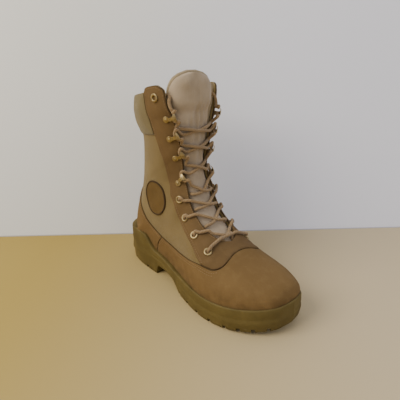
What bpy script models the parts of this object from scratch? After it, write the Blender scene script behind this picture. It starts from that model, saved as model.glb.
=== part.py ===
"""Desert combat boot, right foot, standing empty and laced.

The upper and every leather piece on it come from one surface, a stack of half sections that
fan from the toe over the instep and up the shaft. +X points to the toe, -Y is the outer side
of the foot, +Z is up, and the ground is z = 0.
"""

import math
from functools import lru_cache

import bmesh
import bpy
import numpy as np
from mathutils import Matrix

# Main sizes of the boot, in metres
LENGTH = 0.296
BALL_WIDTH = 0.107
HEEL_SEAT = 0.032
FOREFOOT_SEAT = 0.020
TOE_SPRING = 0.0085
INSTEP_HEIGHT = 0.1195
FRONT_HEIGHT = 0.258
BACK_HEIGHT = 0.249
ANKLE_WIDTH = 0.070
COLLAR_WIDTH = 0.090
MIDLINE = 0.00165

# Walls, leathers and clearances
GAP = 0.0003
WALL = 0.0022
LEATHER = 0.0016
FACING = 0.0020
FORM_CLEARANCE = GAP + LEATHER + 1.6 * GAP

# Sole
FEATHER_INSET = 0.0075
ARCH_HEIGHT = 0.015
RIM_RISE = 0.010
HEEL_CUP_RISE = 0.016
HEEL_CUP_LEAN = 0.0064
SOLE_EDGE_ROUND = 0.0012
TREAD_TAPER = 0.0030
HEEL_TAPER = 0.0042
SIDE_STEP = 0.0013
SIDE_RELIEF = 0.0004
TREAD_EDGE = 0.0035
STEP_BAND = 0.0010
LUG_GROOVE = 0.0045
LUG_DEPTH = 0.0050
NOTCH_LENGTH = 0.018
GROOVE_OVERRUN = 0.006
INSOLE_THICKNESS = 0.0032
INSOLE_MARGIN = 0.0008

# Throat, facings and tongue
THROAT_WIDTH = 0.040
FACING_WIDTH = 0.030
TAB_RISE = 0.0055
TONGUE_LAP = 0.012
TONGUE_THICKNESS = 0.0070
TONGUE_CLEARANCE = 0.0012
TONGUE_FOOT_CLEARANCE = 0.0014

# Collar and ankle patch
COLLAR_EDGE = 0.0012
COLLAR_PADDING = 0.0036
COLLAR_END = 0.35
COLLAR_END_RISE = 0.33
COLLAR_SEARCH = 120
COLLAR_FOOT_BACK = 0.2013
COLLAR_FOOT_SLOPE = 0.10
RIM_SLOPE = 0.14
COLLAR_ROWS = 5
PATCH_HEIGHT = 0.047
PATCH_WIDTH = 0.038
PATCH_THICKNESS = 0.0013
PATCH_STATION = 0.322
PATCH_LEVEL = 1.005
PATCH_SIDES = 18
PATCH_SECTIONS = (9, 3)

# Hardware and lace
EYELET_BORE = 0.0025
EYELET_BARREL = 0.0029
EYELET_FLANGE = 0.0052
EYELET_HEIGHT = 0.0011
EYELET_SIDES = 8
SEAT_LIFT = 0.00055
HOOK_BASE = 0.0092
HOOK_PLATE = 0.0010
HOOK_ARM = 0.0145
HOOK_ARM_WIDTH = 0.0052
HOOK_LIP = 0.0095
HOOK_LIP_RISE = 0.0046
LACE = 0.0040
LACE_SIDES = 6
LACE_STEPS = 4
LACE_DROOP = 1.5
LACE_REACH = 0.82
LACE_SLACK = 0.0010
LACE_OVERLAY = 0.0013
LACE_HOOK_REACH = -0.0012
HOOK_LACE_SHIFT = 0.034

FACING_COLUMNS = 2
COLUMNS = 8
FACING_LIMIT = 0.45
SECTION_POINTS = 25
EASE_CROWN = 5.0
EASE_SEAT = 4.0
EASE_FOOT = 0.88
EASE_REACH = 4.0
EASE_PASSES = 3

# Half widths of the outsole from heel to toe: station as a share of LENGTH, then the outer
# and inner half widths as shares of BALL_WIDTH
OUTLINE = [
    (0.000, 0.000, 0.000),
    (0.012, 0.152, 0.152),
    (0.040, 0.251, 0.251),
    (0.080, 0.314, 0.314),
    (0.140, 0.350, 0.350),
    (0.220, 0.368, 0.359),
    (0.300, 0.368, 0.332),
    (0.380, 0.368, 0.305),
    (0.460, 0.402, 0.318),
    (0.540, 0.449, 0.352),
    (0.620, 0.495, 0.410),
    (0.700, 0.519, 0.462),
    (0.770, 0.505, 0.486),
    (0.840, 0.458, 0.483),
    (0.900, 0.374, 0.447),
    (0.940, 0.290, 0.393),
    (0.970, 0.196, 0.330),
    (0.990, 0.093, 0.252),
    (1.000, -0.093, 0.093),
]

# Stations of the outsole's rings, as shares of LENGTH
SOLE_STATIONS = (
    0.0, 0.012, 0.035, 0.07, 0.12, 0.17, 0.22, 0.265, 0.305, 0.318, 0.36, 0.41, 0.46, 0.49, 0.525,
    0.58, 0.64, 0.70, 0.75, 0.80, 0.845, 0.88, 0.91, 0.935, 0.957, 0.975, 0.988, 0.996, 1.0,
)

# Underside ahead of the heel breast: station, share of ARCH_HEIGHT
ARCH = [
    (0.305, 0.00),
    (0.318, 1.00),
    (0.400, 0.98),
    (0.460, 0.85),
    (0.490, 0.45),
    (0.525, 0.00),
]

# Line of the step on the sole's side: station, share of the height from ground to seat
SIDE_LINE = [
    (0.00, 0.50),
    (0.10, 0.57),
    (0.20, 0.70),
    (0.26, 0.80),
    (0.34, 0.92),
    (0.45, 0.86),
    (0.60, 0.62),
    (1.00, 0.62),
]

# Half sections that stand on the seat, from toe to heel. seat and crown are stations along
# LENGTH, level is the crown's height (1 at the instep, 2 at the collar's front), outer and
# inner are how far the wall swells past the feather line, in shares of BALL_WIDTH, widest is
# the height of the widest point in the section, crown_power and side_power round its two
# arcs, swing leads the crown inwards, in shares of BALL_WIDTH, and steps splits the stretch
# to the next section
FOOT_SECTIONS = [
    # seat, crown, level, outer, inner, widest, crown_power, side_power, swing, steps
    (0.9747, 0.9764, 0.247, 0.000, 0.000, 0.50, 2.00, 2.00, 0.080, 1),
    (0.9710, 0.9830, 0.339, 0.050, 0.050, 0.50, 2.20, 2.00, 0.072, 1),
    (0.9600, 0.9700, 0.418, 0.040, 0.038, 0.45, 2.30, 2.00, 0.062, 1),
    (0.9340, 0.9375, 0.464, 0.032, 0.030, 0.42, 2.30, 2.00, 0.050, 1),
    (0.8920, 0.8850, 0.512, 0.029, 0.025, 0.36, 2.30, 2.00, 0.035, 2),
    (0.8378, 0.8209, 0.558, 0.029, 0.025, 0.32, 2.25, 2.00, 0.020, 2),
    (0.7635, 0.7416, 0.629, 0.029, 0.025, 0.28, 2.20, 2.00, 0.008, 3),
    (0.6790, 0.6620, 0.747, 0.024, 0.024, 0.25, 2.20, 2.00, 0.000, 2),
    (0.5845, 0.5970, 0.873, 0.015, 0.043, 0.25, 2.30, 2.00, 0.000, 2),
    (0.4831, 0.5560, 1.000, 0.004, 0.062, 0.30, 2.40, 2.00, 0.000, 2),
    (0.3649, 0.5311, 1.105, 0.004, 0.080, 0.38, 2.40, 2.00, 0.000, 2),
    (0.2297, 0.5169, 1.202, 0.008, 0.071, 0.45, 2.40, 1.90, 0.000, 2),
    (0.1284, 0.5101, 1.278, 0.043, 0.062, 0.40, 2.30, 1.90, 0.000, 1),
    (0.0709, 0.5068, 1.336, 0.118, 0.118, 0.32, 2.30, 2.00, 0.000, 1),
]

# Sections of the shaft, from the heel seat to above the collar. back and crown are stations
# along LENGTH, rise is the back's height from the heel seat (0) to the collar (1), level is
# the crown's height as above, and width runs from ANKLE_WIDTH (0) to COLLAR_WIDTH (1)
SHAFT_SECTIONS = [
    # back, rise, crown, level, width, widest, crown_power, side_power
    (0.0541, 0.000, 0.5068, 1.372, -0.10, 0.31, 2.30, 2.00),
    (0.0507, 0.083, 0.5068, 1.415, -0.10, 0.34, 2.30, 1.95),
    (0.0640, 0.183, 0.5068, 1.459, -0.10, 0.40, 2.30, 1.90),
    (0.0870, 0.284, 0.5068, 1.509, -0.10, 0.47, 2.30, 1.85),
    (0.1110, 0.394, 0.5068, 1.574, 0.05, 0.54, 2.35, 1.80),
    (0.1290, 0.514, 0.5068, 1.653, 0.15, 0.58, 2.40, 1.75),
    (0.1400, 0.642, 0.5101, 1.740, 0.30, 0.60, 2.50, 1.70),
    (0.1370, 0.780, 0.5135, 1.841, 0.55, 0.62, 2.60, 1.70),
    (0.1290, 0.899, 0.5169, 1.942, 0.90, 0.64, 2.70, 1.75),
    (0.1240, 1.085, 0.5203, 2.200, 1.15, 0.64, 2.75, 1.75),
    (0.1240, 1.165, 0.5203, 2.290, 1.20, 0.64, 2.75, 1.75),
]

# Half opening of the throat: crown level, share of half THROAT_WIDTH
THROAT = [
    (0.690, 0.00),
    (0.705, 0.38),
    (0.730, 0.62),
    (0.767, 0.80),
    (0.830, 0.95),
    (0.900, 1.00),
    (1.010, 1.00),
    (1.100, 0.95),
    (1.226, 0.89),
    (1.328, 0.87),
    (1.438, 0.92),
    (1.540, 1.02),
    (1.642, 1.18),
    (1.752, 1.38),
    (1.854, 1.63),
    (1.956, 1.92),
    (2.290, 2.12),
]

# Width of each facing: crown level, share of FACING_WIDTH
FACING_BAND = [
    (0.300, 0.40),
    (0.560, 0.95),
    (0.690, 1.45),
    (0.747, 1.28),
    (0.800, 1.08),
    (0.873, 0.90),
    (1.040, 0.93),
    (1.177, 0.96),
    (1.307, 1.03),
    (1.500, 0.98),
    (1.667, 1.08),
    (1.824, 1.17),
    (2.290, 1.08),
]

# Reach of the tongue past the throat edge: crown level, share of TONGUE_LAP
TONGUE_BAND = [
    (0.600, 1.70),
    (0.690, 1.60),
    (0.750, 1.00),
    (1.000, 0.90),
    (1.300, 0.90),
    (1.500, 0.60),
    (1.667, 0.20),
    (1.900, 0.10),
    (2.000, 0.05),
    (2.060, -0.25),
    (2.110, -0.90),
    (2.140, -1.75),
    (2.160, -2.85),
]
TONGUE_TOP_LEVELS = (2.020, 2.070, 2.110, 2.140, 2.160)

# How much less the tongue's head reaches on the inner side: crown level, metres
TONGUE_LEAN = [
    (1.750, 0.000),
    (1.950, 0.006),
    (2.160, 0.006),
]

# Across the tongue from its edge to its middle: outer face and inner face, as shares of
# TONGUE_THICKNESS behind the throat, and how much further the edge tucks in at the collar
TONGUE_PROFILE = [
    # outer, inner, tuck
    (0.35, 0.80, 0.40),
    (0.04, 0.98, 0.08),
    (0.00, 1.00, 0.00),
    (0.00, 1.00, 0.00),
]

# Seam between the foot leathers and the quarters, seen from the side: station along LENGTH,
# share of INSTEP_HEIGHT. It drops from the counter's top, runs along the waist and turns up
# round the foot of the facing to the throat.
FOXING = [
    (-0.040, 1.150),
    (0.085, 1.105),
    (0.135, 1.020),
    (0.176, 0.890),
    (0.217, 0.765),
    (0.272, 0.645),
    (0.345, 0.552),
    (0.410, 0.505),
    (0.490, 0.490),
    (0.575, 0.520),
    (0.650, 0.542),
    (0.695, 0.536),
    (0.728, 0.528),
    (0.750, 0.545),
    (0.755, 0.580),
    (0.744, 0.625),
    (0.725, 0.670),
    (0.710, 0.700),
    (0.702, 0.800),
    (0.702, 1.000),
]

# Seam between counter and vamp: station, share of INSTEP_HEIGHT
HEEL_SEAM = [
    (0.352, 0.700),
    (0.352, 0.540),
    (0.328, 0.460),
    (0.314, 0.375),
    (0.308, 0.285),
    (0.308, -0.050),
]

# Rows of the lace: crown level, distance of the hardware back from the throat edge in shares
# of FACING_WIDTH. Four eyelets, four hooks and the eyelet in the tab.
EYELET_ROWS = [
    (0.730, 0.74),
    (0.883, 0.52),
    (1.058, 0.52),
    (1.190, 0.52),
]
HOOK_ROWS = [
    (1.322, 0.42),
    (1.529, 0.34),
    (1.687, 0.38),
    (1.834, 0.26),
]
TAB_ROW = (2.005, 0.44)

# Tab above the collar, from its back edge to the throat: share of FACING_WIDTH measured back
# from the throat edge, share of TAB_RISE
TAB = [
    (1.16, 0.00),
    (1.10, 0.30),
    (1.00, 0.80),
    (0.84, 1.00),
    (0.42, 1.00),
    (0.20, 0.72),
    (0.00, 0.20),
    (-0.60, 0.20),
]

# Tread grooves across the sole and lugs at its ends: station at the edge, station at the
# middle of the V
TREAD_GROOVES = [
    (0.100, 0.120),
    (0.235, 0.205),
    (0.527, 0.560),
    (0.600, 0.633),
    (0.672, 0.705),
    (0.744, 0.777),
    (0.812, 0.842),
]
EDGE_NOTCHES = (0.875, 0.925, 0.968)
HEEL_NOTCHES = (0.030,)

SHARP_ANGLE = 42
LATERAL = -1
MEDIAL = 1
SIDES = (LATERAL, MEDIAL)


def smooth(value):
    value = min(max(value, 0.0), 1.0)
    return value * value * (3.0 - 2.0 * value)


def table(rows, value):
    return float(np.interp(value, [row[0] for row in rows], [row[1] for row in rows]))


def station_x(share):
    return (share - 0.5) * LENGTH


def catmull(rows, steps):
    """Smooth rows through the given ones, with steps[i] pieces after row i."""
    rows = np.asarray(rows, float)
    ends = np.vstack([2 * rows[0] - rows[1], rows, 2 * rows[-1] - rows[-2]])
    result = []
    for index in range(1, len(ends) - 2):
        before, start, end, after = ends[index - 1:index + 3]
        count = steps[index - 1]
        for piece in range(count):
            t = piece / count
            result.append(0.5 * (2 * start + (end - before) * t
                                 + (2 * before - 5 * start + 4 * end - after) * t * t
                                 + (3 * start - before - 3 * end + after) * t ** 3))
    result.append(ends[-2])
    return np.array(result)


# Heights of the sole

def toe_spring(share):
    return TOE_SPRING * max((share - 0.70) / 0.30, 0.0) ** 2


def seat_height(share):
    return (FOREFOOT_SEAT + (HEEL_SEAT - FOREFOOT_SEAT) * smooth((0.50 - share) / 0.30)
            + toe_spring(share))


def ground_height(share):
    return ARCH_HEIGHT * table(ARCH, share) + toe_spring(share)


def rim_height(share):
    return seat_height(share) + RIM_RISE + HEEL_CUP_RISE * smooth((0.305 - share) / 0.085)


def step_height(share):
    base = toe_spring(share)
    return base + table(SIDE_LINE, share) * (seat_height(share) - base)


# Outline of the sole in plan

def outline_side(side):
    column = 1 if side == LATERAL else 2
    rows = [(station_x(row[0]), side * row[column] * BALL_WIDTH) for row in OUTLINE]
    return catmull(rows, [8] * (len(rows) - 1))


def plan_ring(inset):
    """Closed plan outline moved inwards, outer side from heel to toe and back along the inner."""
    outer = outline_side(LATERAL)
    inner = outline_side(MEDIAL)
    ring = np.vstack([outer, inner[::-1][1:-1]])
    tangent = np.roll(ring, -1, axis=0) - np.roll(ring, 1, axis=0)
    tangent /= np.linalg.norm(tangent, axis=1)[:, None]
    normal = np.stack([-tangent[:, 1], tangent[:, 0]], axis=1)
    moved = ring + normal * inset
    toe = len(outer) - 1
    return moved[:toe + 1], np.vstack([moved[toe:], moved[:1]])[::-1]


@lru_cache(maxsize=None)
def feather_line(inset):
    lines = {}
    for side, line in zip(SIDES, plan_ring(inset)):
        order = np.argsort(line[:, 0])
        lines[side] = line[order]
    return lines


def feather_y(side, x, inset=FEATHER_INSET):
    line = feather_line(inset)[side]
    return float(np.interp(x, line[:, 0], line[:, 1]))


def sole_point(side, share, inset):
    """Plan point of the outline at a station, moved inwards along the outline's normal."""
    here = np.array(plan_ring(0.0)[0 if side == LATERAL else 1])
    there = np.array(plan_ring(inset)[0 if side == LATERAL else 1])
    stations = np.linspace(0, len(OUTLINE) - 1, len(here))
    place = np.interp(share, [row[0] for row in OUTLINE], range(len(OUTLINE)))
    return np.array([np.interp(place, stations, there[:, axis]) for axis in (0, 1)])


# Sections of the last

def level_height(level):
    if level <= 1.0:
        return level * INSTEP_HEIGHT
    return INSTEP_HEIGHT + (level - 1.0) * (FRONT_HEIGHT - INSTEP_HEIGHT)


def foot_section(row, closed):
    seat, crown, level, outer, inner, widest, crown_power, side_power, swing, _ = row
    x = station_x(seat)
    middle = swing * BALL_WIDTH
    feet = [abs(feather_y(side, x) - middle) for side in SIDES]
    widths = [foot + swell * BALL_WIDTH for foot, swell in zip(feet, (outer, inner))]
    if closed:
        feet = widths = [0.0, 0.0]
        middle = 0.5 * (feather_y(LATERAL, x) + feather_y(MEDIAL, x))
    return [x, seat_height(seat) + GAP, station_x(crown), level_height(level), middle,
            widths[0], widths[1], feet[0], feet[1], widest, crown_power, side_power, level]


def shaft_section(row):
    back, rise, crown, level, width, widest, crown_power, side_power = row
    seat = HEEL_SEAT + GAP
    half = 0.5 * (ANKLE_WIDTH + width * (COLLAR_WIDTH - ANKLE_WIDTH))
    return [station_x(back), seat + rise * (BACK_HEIGHT - seat), station_x(crown),
            level_height(level), 0.0, half, half, 0.0, 0.0, widest, crown_power, side_power, level]


def all_sections():
    steps = [row[-1] for row in FOOT_SECTIONS[:-1]]
    foot = catmull(FOOT_SECTIONS, steps)
    rows = [foot_section(row, index == 0) for index, row in enumerate(foot)]
    rows += [shaft_section(row) for row in SHAFT_SECTIONS]
    return np.array(rows), len(foot)


SECTIONS, FOOT_COUNT = all_sections()
LEVEL = 12
GRID_STATIONS = len(SECTIONS) - 1


def station_at(level):
    return float(np.interp(level, SECTIONS[:, LEVEL], range(len(SECTIONS))))


def level_at(station):
    return float(np.interp(station, range(len(SECTIONS)), SECTIONS[:, LEVEL]))


def section_points(side, row):
    """Points of one half section from the crown down to the seat, or to the back seam."""
    base_x, base_z, crown_x, crown_z, middle = row[:5]
    width = row[5] if side == LATERAL else row[6]
    foot = min(width, row[7] if side == LATERAL else row[8])
    widest, crown_power, side_power = row[9:12]
    turn = np.linspace(0.0, math.pi / 2, SECTION_POINTS)
    top_out = width * np.sin(turn) ** (2 / crown_power)
    top_up = widest + (1 - widest) * np.cos(turn).clip(0) ** (2 / crown_power)
    low_out = foot + (width - foot) * np.cos(turn[1:]).clip(0) ** (2 / side_power)
    low_up = widest * (1 - np.sin(turn[1:]) ** (2 / side_power))
    out = np.concatenate([top_out, low_out])
    up = np.concatenate([top_up, low_up])
    return np.stack([base_x + up * (crown_x - base_x), middle + side * out,
                     base_z + up * (crown_z - base_z)], axis=1)


def eased_sections(side):
    """All half sections of a side, softened where the foot's sections meet the shaft's."""
    rows = np.array([section_points(side, row) for row in SECTIONS])
    down = np.linspace(0.0, 1.0, rows.shape[1])
    across = np.array([smooth(EASE_CROWN * share) * smooth(EASE_SEAT * (EASE_FOOT - share))
                       for share in down])
    away = np.abs(np.arange(len(rows)) - FOOT_COUNT + 0.5)
    near = np.array([smooth(EASE_REACH - gap) for gap in away])
    weight = near[1:-1, None, None] * across[None, :, None]
    for _ in range(EASE_PASSES):
        middle = 0.25 * rows[:-2] + 0.5 * rows[1:-1] + 0.25 * rows[2:]
        rows[1:-1] += weight * (middle - rows[1:-1])
    return rows


@lru_cache(maxsize=None)
def side_sections(side):
    return eased_sections(side)


@lru_cache(maxsize=None)
def half_section(side, station):
    """Points from crown to seat, or to the back seam, and their distance from the crown."""
    rows = side_sections(side)
    low = min(int(station), len(rows) - 2)
    points = rows[low] + (station - low) * (rows[low + 1] - rows[low])
    lengths = np.linalg.norm(np.diff(points, axis=0), axis=1)
    return points, np.concatenate([[0.0], np.cumsum(lengths)])


def section_length(side, station):
    return half_section(side, station)[1][-1]


def surface(side, station, arc):
    points, run = half_section(side, station)
    return np.array([np.interp(arc, run, points[:, axis]) for axis in range(3)])


def surface_normal(side, station, arc):
    """Outward direction of the last's surface, level along the seat and in plane at the seams."""
    length = section_length(side, station)
    if station < 1e-6 or length < 1e-6:
        return np.array([1.0, 0.0, 0.0])
    reach = 0.0015
    share = arc / length
    before = max(station - 0.35, 0.02)
    after = min(station + 0.35, len(SECTIONS) - 1.001)
    along = (surface(side, after, share * section_length(side, after))
             - surface(side, before, share * section_length(side, before)))
    across = (surface(side, station, min(arc + reach, length))
              - surface(side, station, max(arc - reach, 0.0)))
    normal = np.cross(across, along) * side
    at_seat = arc > length - 1e-6
    if at_seat and station <= FOOT_COUNT - 1:
        normal[2] = 0.0
    elif at_seat or arc < 1e-6:
        normal[1] = 0.0
    return normal / np.linalg.norm(normal)


def lifted(side, station, arc, height):
    return surface(side, station, arc) + height * surface_normal(side, station, arc)


def arc_at_width(side, station, half_width):
    """Distance from the crown to where the section is this far from the boot's middle."""
    points, run = half_section(side, station)
    top = SECTION_POINTS
    out = np.abs(points[:top, 1] - points[0, 1])
    return float(np.interp(half_width, out, run[:top]))


def throat_arc(side, station):
    half = table(THROAT, level_at(station)) * THROAT_WIDTH / 2
    if half <= 0.0:
        return 0.0
    return arc_at_width(side, station, half)


def facing_arc(side, station):
    return throat_arc(side, station) + table(FACING_BAND, level_at(station)) * FACING_WIDTH


# Solids made from patches of the surface

def add_object(name, vertices, faces, finish):
    mesh = bpy.data.meshes.new(name)
    mesh.from_pydata([tuple(map(float, point)) for point in vertices], [], faces)
    mesh.validate()
    thing = bpy.data.objects.new(name, mesh)
    mesh.materials.append(finish)
    return thing


def shade_round(mesh):
    """Smooth shading with hard edges kept."""
    mesh.shade_smooth()
    mesh.set_sharp_from_angle(angle=math.radians(SHARP_ANGLE))


def thick_patch(name, faces, low, high, finish):
    """Closed solid between two copies of an open patch. low and high map keys to points."""
    keys = sorted({key for face in faces for key in face}, key=str)
    index = {key: place for place, key in enumerate(keys)}
    count = len(keys)
    solid = []
    edges = {}
    for face in faces:
        ring = [index[key] for key in face]
        solid.append([place + count for place in ring])
        solid.append(ring[::-1])
        for start, end in zip(ring, ring[1:] + ring[:1]):
            edges[(start, end)] = True
    for start, end in edges:
        if (end, start) not in edges:
            solid.append([end + count, start + count, start, end])
    vertices = [low[key] for key in keys] + [high[key] for key in keys]
    return add_object(name, vertices, solid, finish)


def grid_key(side, station, column):
    if station == 0:
        return ("toe", column)
    if column == 0 and throat_arc(side, station) == 0.0:
        return ("crown", station)
    if column == COLUMNS and station >= FOOT_COUNT:
        return ("back", station)
    return (side, station, column)


def grid_arc(side, station, column):
    """Distance from the crown to a grid column: two columns on the facing, the rest behind it."""
    start = throat_arc(side, station)
    end = section_length(side, station)
    edge = min(facing_arc(side, station), start + FACING_LIMIT * (end - start))
    if column <= FACING_COLUMNS:
        return start + (edge - start) * column / FACING_COLUMNS
    return edge + (end - edge) * (column - FACING_COLUMNS) / (COLUMNS - FACING_COLUMNS)


def grid_faces(first, last):
    """Triangles of the surface grid between two stations, both sides, facing outwards."""
    faces = []
    for side in SIDES:
        for station in range(first, last):
            for column in range(COLUMNS):
                corners = [(station, column), (station, column + 1),
                           (station + 1, column + 1), (station + 1, column)]
                for half in (corners[:3], [corners[0]] + corners[2:]):
                    face = [grid_key(side, *corner) for corner in half]
                    if side == MEDIAL:
                        face.reverse()
                    if len(set(face)) == 3:
                        faces.append(face)
    return faces


def grid_points(first, last, height):
    points = {}
    for side in SIDES:
        for station in range(first, last + 1):
            for column in range(COLUMNS + 1):
                key = grid_key(side, station, column)
                arc = grid_arc(side, station, column)
                points[key] = lifted(side, float(station), arc, height)
    return points


def band_patch(name, rows, columns, low, high, finish):
    """Solid on a strip of the surface. Each row lists its points as side, station and arc."""
    faces = []
    for row in range(len(rows) - 1):
        for column in range(columns):
            faces.append([(row, column), (row, column + 1), (row + 1, column + 1)])
            faces.append([(row, column), (row + 1, column + 1), (row + 1, column)])
    places = [{}, {}]
    for row, points in enumerate(rows):
        for column, (side, station, arc) in enumerate(points):
            for place, height in zip(places, (low, high)):
                lift = height(row, column) if callable(height) else height
                place[(row, column)] = lifted(side, station, arc, lift)
    thing = thick_patch(name, faces, places[0], places[1], finish)
    point_outwards(thing.data)
    return thing


def point_outwards(mesh):
    work = bmesh.new()
    work.from_mesh(mesh)
    bmesh.ops.recalc_face_normals(work, faces=work.faces[:])
    work.to_mesh(mesh)
    work.free()


def side_prism(name, outline, reach=0.09):
    """Cutter through the whole boot from an outline seen from the side."""
    work = bmesh.new()
    ring = [work.verts.new((x, -reach, z)) for x, z in outline]
    face = work.faces.new(ring)
    grown = bmesh.ops.extrude_face_region(work, geom=[face])
    moved = [item for item in grown["geom"] if isinstance(item, bmesh.types.BMVert)]
    bmesh.ops.translate(work, verts=moved, vec=(0.0, 2 * reach, 0.0))
    bmesh.ops.recalc_face_normals(work, faces=work.faces[:])
    mesh = bpy.data.meshes.new(name)
    work.to_mesh(mesh)
    work.free()
    return bpy.data.objects.new(name, mesh)


def side_curve(rows, steps, shift=0.0):
    """Smooth side-view line through rows of shares, moved to its left by shift."""
    points = catmull([(station_x(row[0]), row[1] * INSTEP_HEIGHT) for row in rows],
                     [steps] * (len(rows) - 1))
    tangent = np.gradient(points, axis=0)
    tangent /= np.linalg.norm(tangent, axis=1)[:, None]
    left = np.stack([-tangent[:, 1], tangent[:, 0]], axis=1)
    return [tuple(point) for point in points + left * shift]


def cut(thing, cutter, operation="DIFFERENCE"):
    step = thing.modifiers.new(cutter.name, "BOOLEAN")
    step.operation = operation
    step.solver = "EXACT"
    step.object = cutter


def make_finish(name, colour, roughness, metallic=0.0):
    finish = bpy.data.materials.new(name)
    finish.use_nodes = True
    shader = finish.node_tree.nodes["Principled BSDF"]
    shader.inputs["Base Color"].default_value = (*colour, 1.0)
    shader.inputs["Roughness"].default_value = roughness
    shader.inputs["Metallic"].default_value = metallic
    finish.diffuse_color = (*colour, 1.0)
    return finish


# Lines that several pieces share

def rim_height_at(x):
    return BACK_HEIGHT + RIM_SLOPE * (x - station_x(SHAFT_SECTIONS[-2][0]))


def rim_line():
    """Top edge of the collar seen from the side, with the tab ahead of it."""
    back_x = station_x(0.0) - 0.02
    start = [(back_x, rim_height_at(back_x))]
    station = station_at(2.02)
    edge = throat_arc(LATERAL, station)
    line = []
    for back, rise in TAB:
        x = surface(LATERAL, station, max(edge + back * FACING_WIDTH, 0.0))[0]
        if back < 0.0:
            x = surface(LATERAL, station, 0.0)[0] + 0.02
        line.append((x, rim_height_at(x) + rise * TAB_RISE))
    return start + line


def above(line, top):
    """Closed outline of everything above a line that runs from back to front."""
    return [(line[0][0], top)] + line + [(line[-1][0], top)]


# Pieces of the boot

def make_upper(finish, cutters):
    last = GRID_STATIONS - 1
    faces = grid_faces(0, last)
    upper = thick_patch("upper", faces, grid_points(0, last, -WALL),
                        grid_points(0, last, 0.0), finish)
    cut(upper, cutters["rim"])
    cut(upper, cutters["holes"])
    return upper


def make_foot_leathers(finish, cutters):
    """Vamp and counter, one skin of leather on the foot that two seams part."""
    last = GRID_STATIONS - 4
    faces = grid_faces(0, last)
    low = grid_points(0, last, GAP)
    high = grid_points(0, last, GAP + LEATHER)
    pieces = []
    for name, outline in (("vamp", cutters["vamp"]), ("heel_counter", cutters["counter"])):
        piece = thick_patch(name, faces, low, high, finish)
        cut(piece, outline, "INTERSECT")
        pieces.append(piece)
    return pieces


def make_facings(finish, cutters):
    """Eyestays along both edges of the throat, each with a tab above the collar."""
    stations = range(int(station_at(0.640)), GRID_STATIONS)
    pieces = []
    for side, name in ((LATERAL, "eyestay_lateral"), (MEDIAL, "eyestay_medial")):
        rows = [[(side, station, grid_arc(side, station, column))
                 for column in range(FACING_COLUMNS + 1)] for station in stations]
        piece = band_patch(name, rows, FACING_COLUMNS, GAP, GAP + FACING, finish)
        cut(piece, cutters["facing"], "INTERSECT")
        cut(piece, cutters["rim"])
        cut(piece, cutters["holes"])
        pieces.append(piece)
    return pieces


def make_collar(finish):
    """Padded cuff round the top of the shaft, from facing to facing round the back."""
    half = COLUMNS - FACING_COLUMNS
    last = COLLAR_ROWS - 1
    columns = []
    for side, order in ((LATERAL, range(half)), (MEDIAL, range(half, -1, -1))):
        for step in order:
            share = step / half
            foot = collar_station(side, share, COLLAR_FOOT_BACK, COLLAR_FOOT_SLOPE)
            top = collar_station(side, share, BACK_HEIGHT, RIM_SLOPE)
            columns.append([(side, station, collar_arc(side, station, share))
                            for station in np.linspace(foot, top, COLLAR_ROWS)])
    rows = [[column[row] for column in columns] for row in range(COLLAR_ROWS)]
    low = 2 * GAP

    def padding(row, column):
        swell = math.sin(math.pi * row / last) ** 0.5 if 0 < row < last else 0.0
        edge = min(column, 2 * half - column)
        ends = min(1.0, COLLAR_END + COLLAR_END_RISE * edge)
        return low + COLLAR_EDGE + COLLAR_PADDING * swell * ends

    return band_patch("collar", rows, 2 * half, low, padding, finish)


def collar_arc(side, station, share):
    """Distance from the crown to a share of the way from the facing to the back seam."""
    start = facing_arc(side, station) + GAP * 2
    return start + (section_length(side, station) - start) * share


def collar_station(side, share, back_height, slope):
    """Station at which a column of the collar meets a line that is seen from the side."""
    rear = station_x(SHAFT_SECTIONS[-2][0])
    stations = np.linspace(FOOT_COUNT + 3, GRID_STATIONS, COLLAR_SEARCH)
    excess = []
    for station in stations:
        point = surface(side, station, collar_arc(side, station, share))
        excess.append(point[2] - back_height - slope * (point[0] - rear))
    return float(np.interp(0.0, excess, stations))


def patch_outline():
    """Oval over the outer ankle bone, seen from the side."""
    x = station_x(PATCH_STATION)
    z = PATCH_LEVEL * INSTEP_HEIGHT
    turns = [2 * math.pi * step / PATCH_SIDES for step in range(PATCH_SIDES)]
    return [(x + PATCH_WIDTH / 2 * math.cos(turn), z + PATCH_HEIGHT / 2 * math.sin(turn))
            for turn in turns]


def make_ankle_patch(finish, cutters):
    first = FOOT_COUNT - PATCH_SECTIONS[0]
    last = FOOT_COUNT + PATCH_SECTIONS[1]
    faces = [face for face in grid_faces(first, last)
             if all(key[0] == LATERAL for key in face)]
    low = grid_points(first, last, GAP)
    high = grid_points(first, last, GAP + PATCH_THICKNESS)
    patch = thick_patch("ankle_patch", faces, low, high, finish)
    cut(patch, cutters["patch"], "INTERSECT")
    return patch


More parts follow.
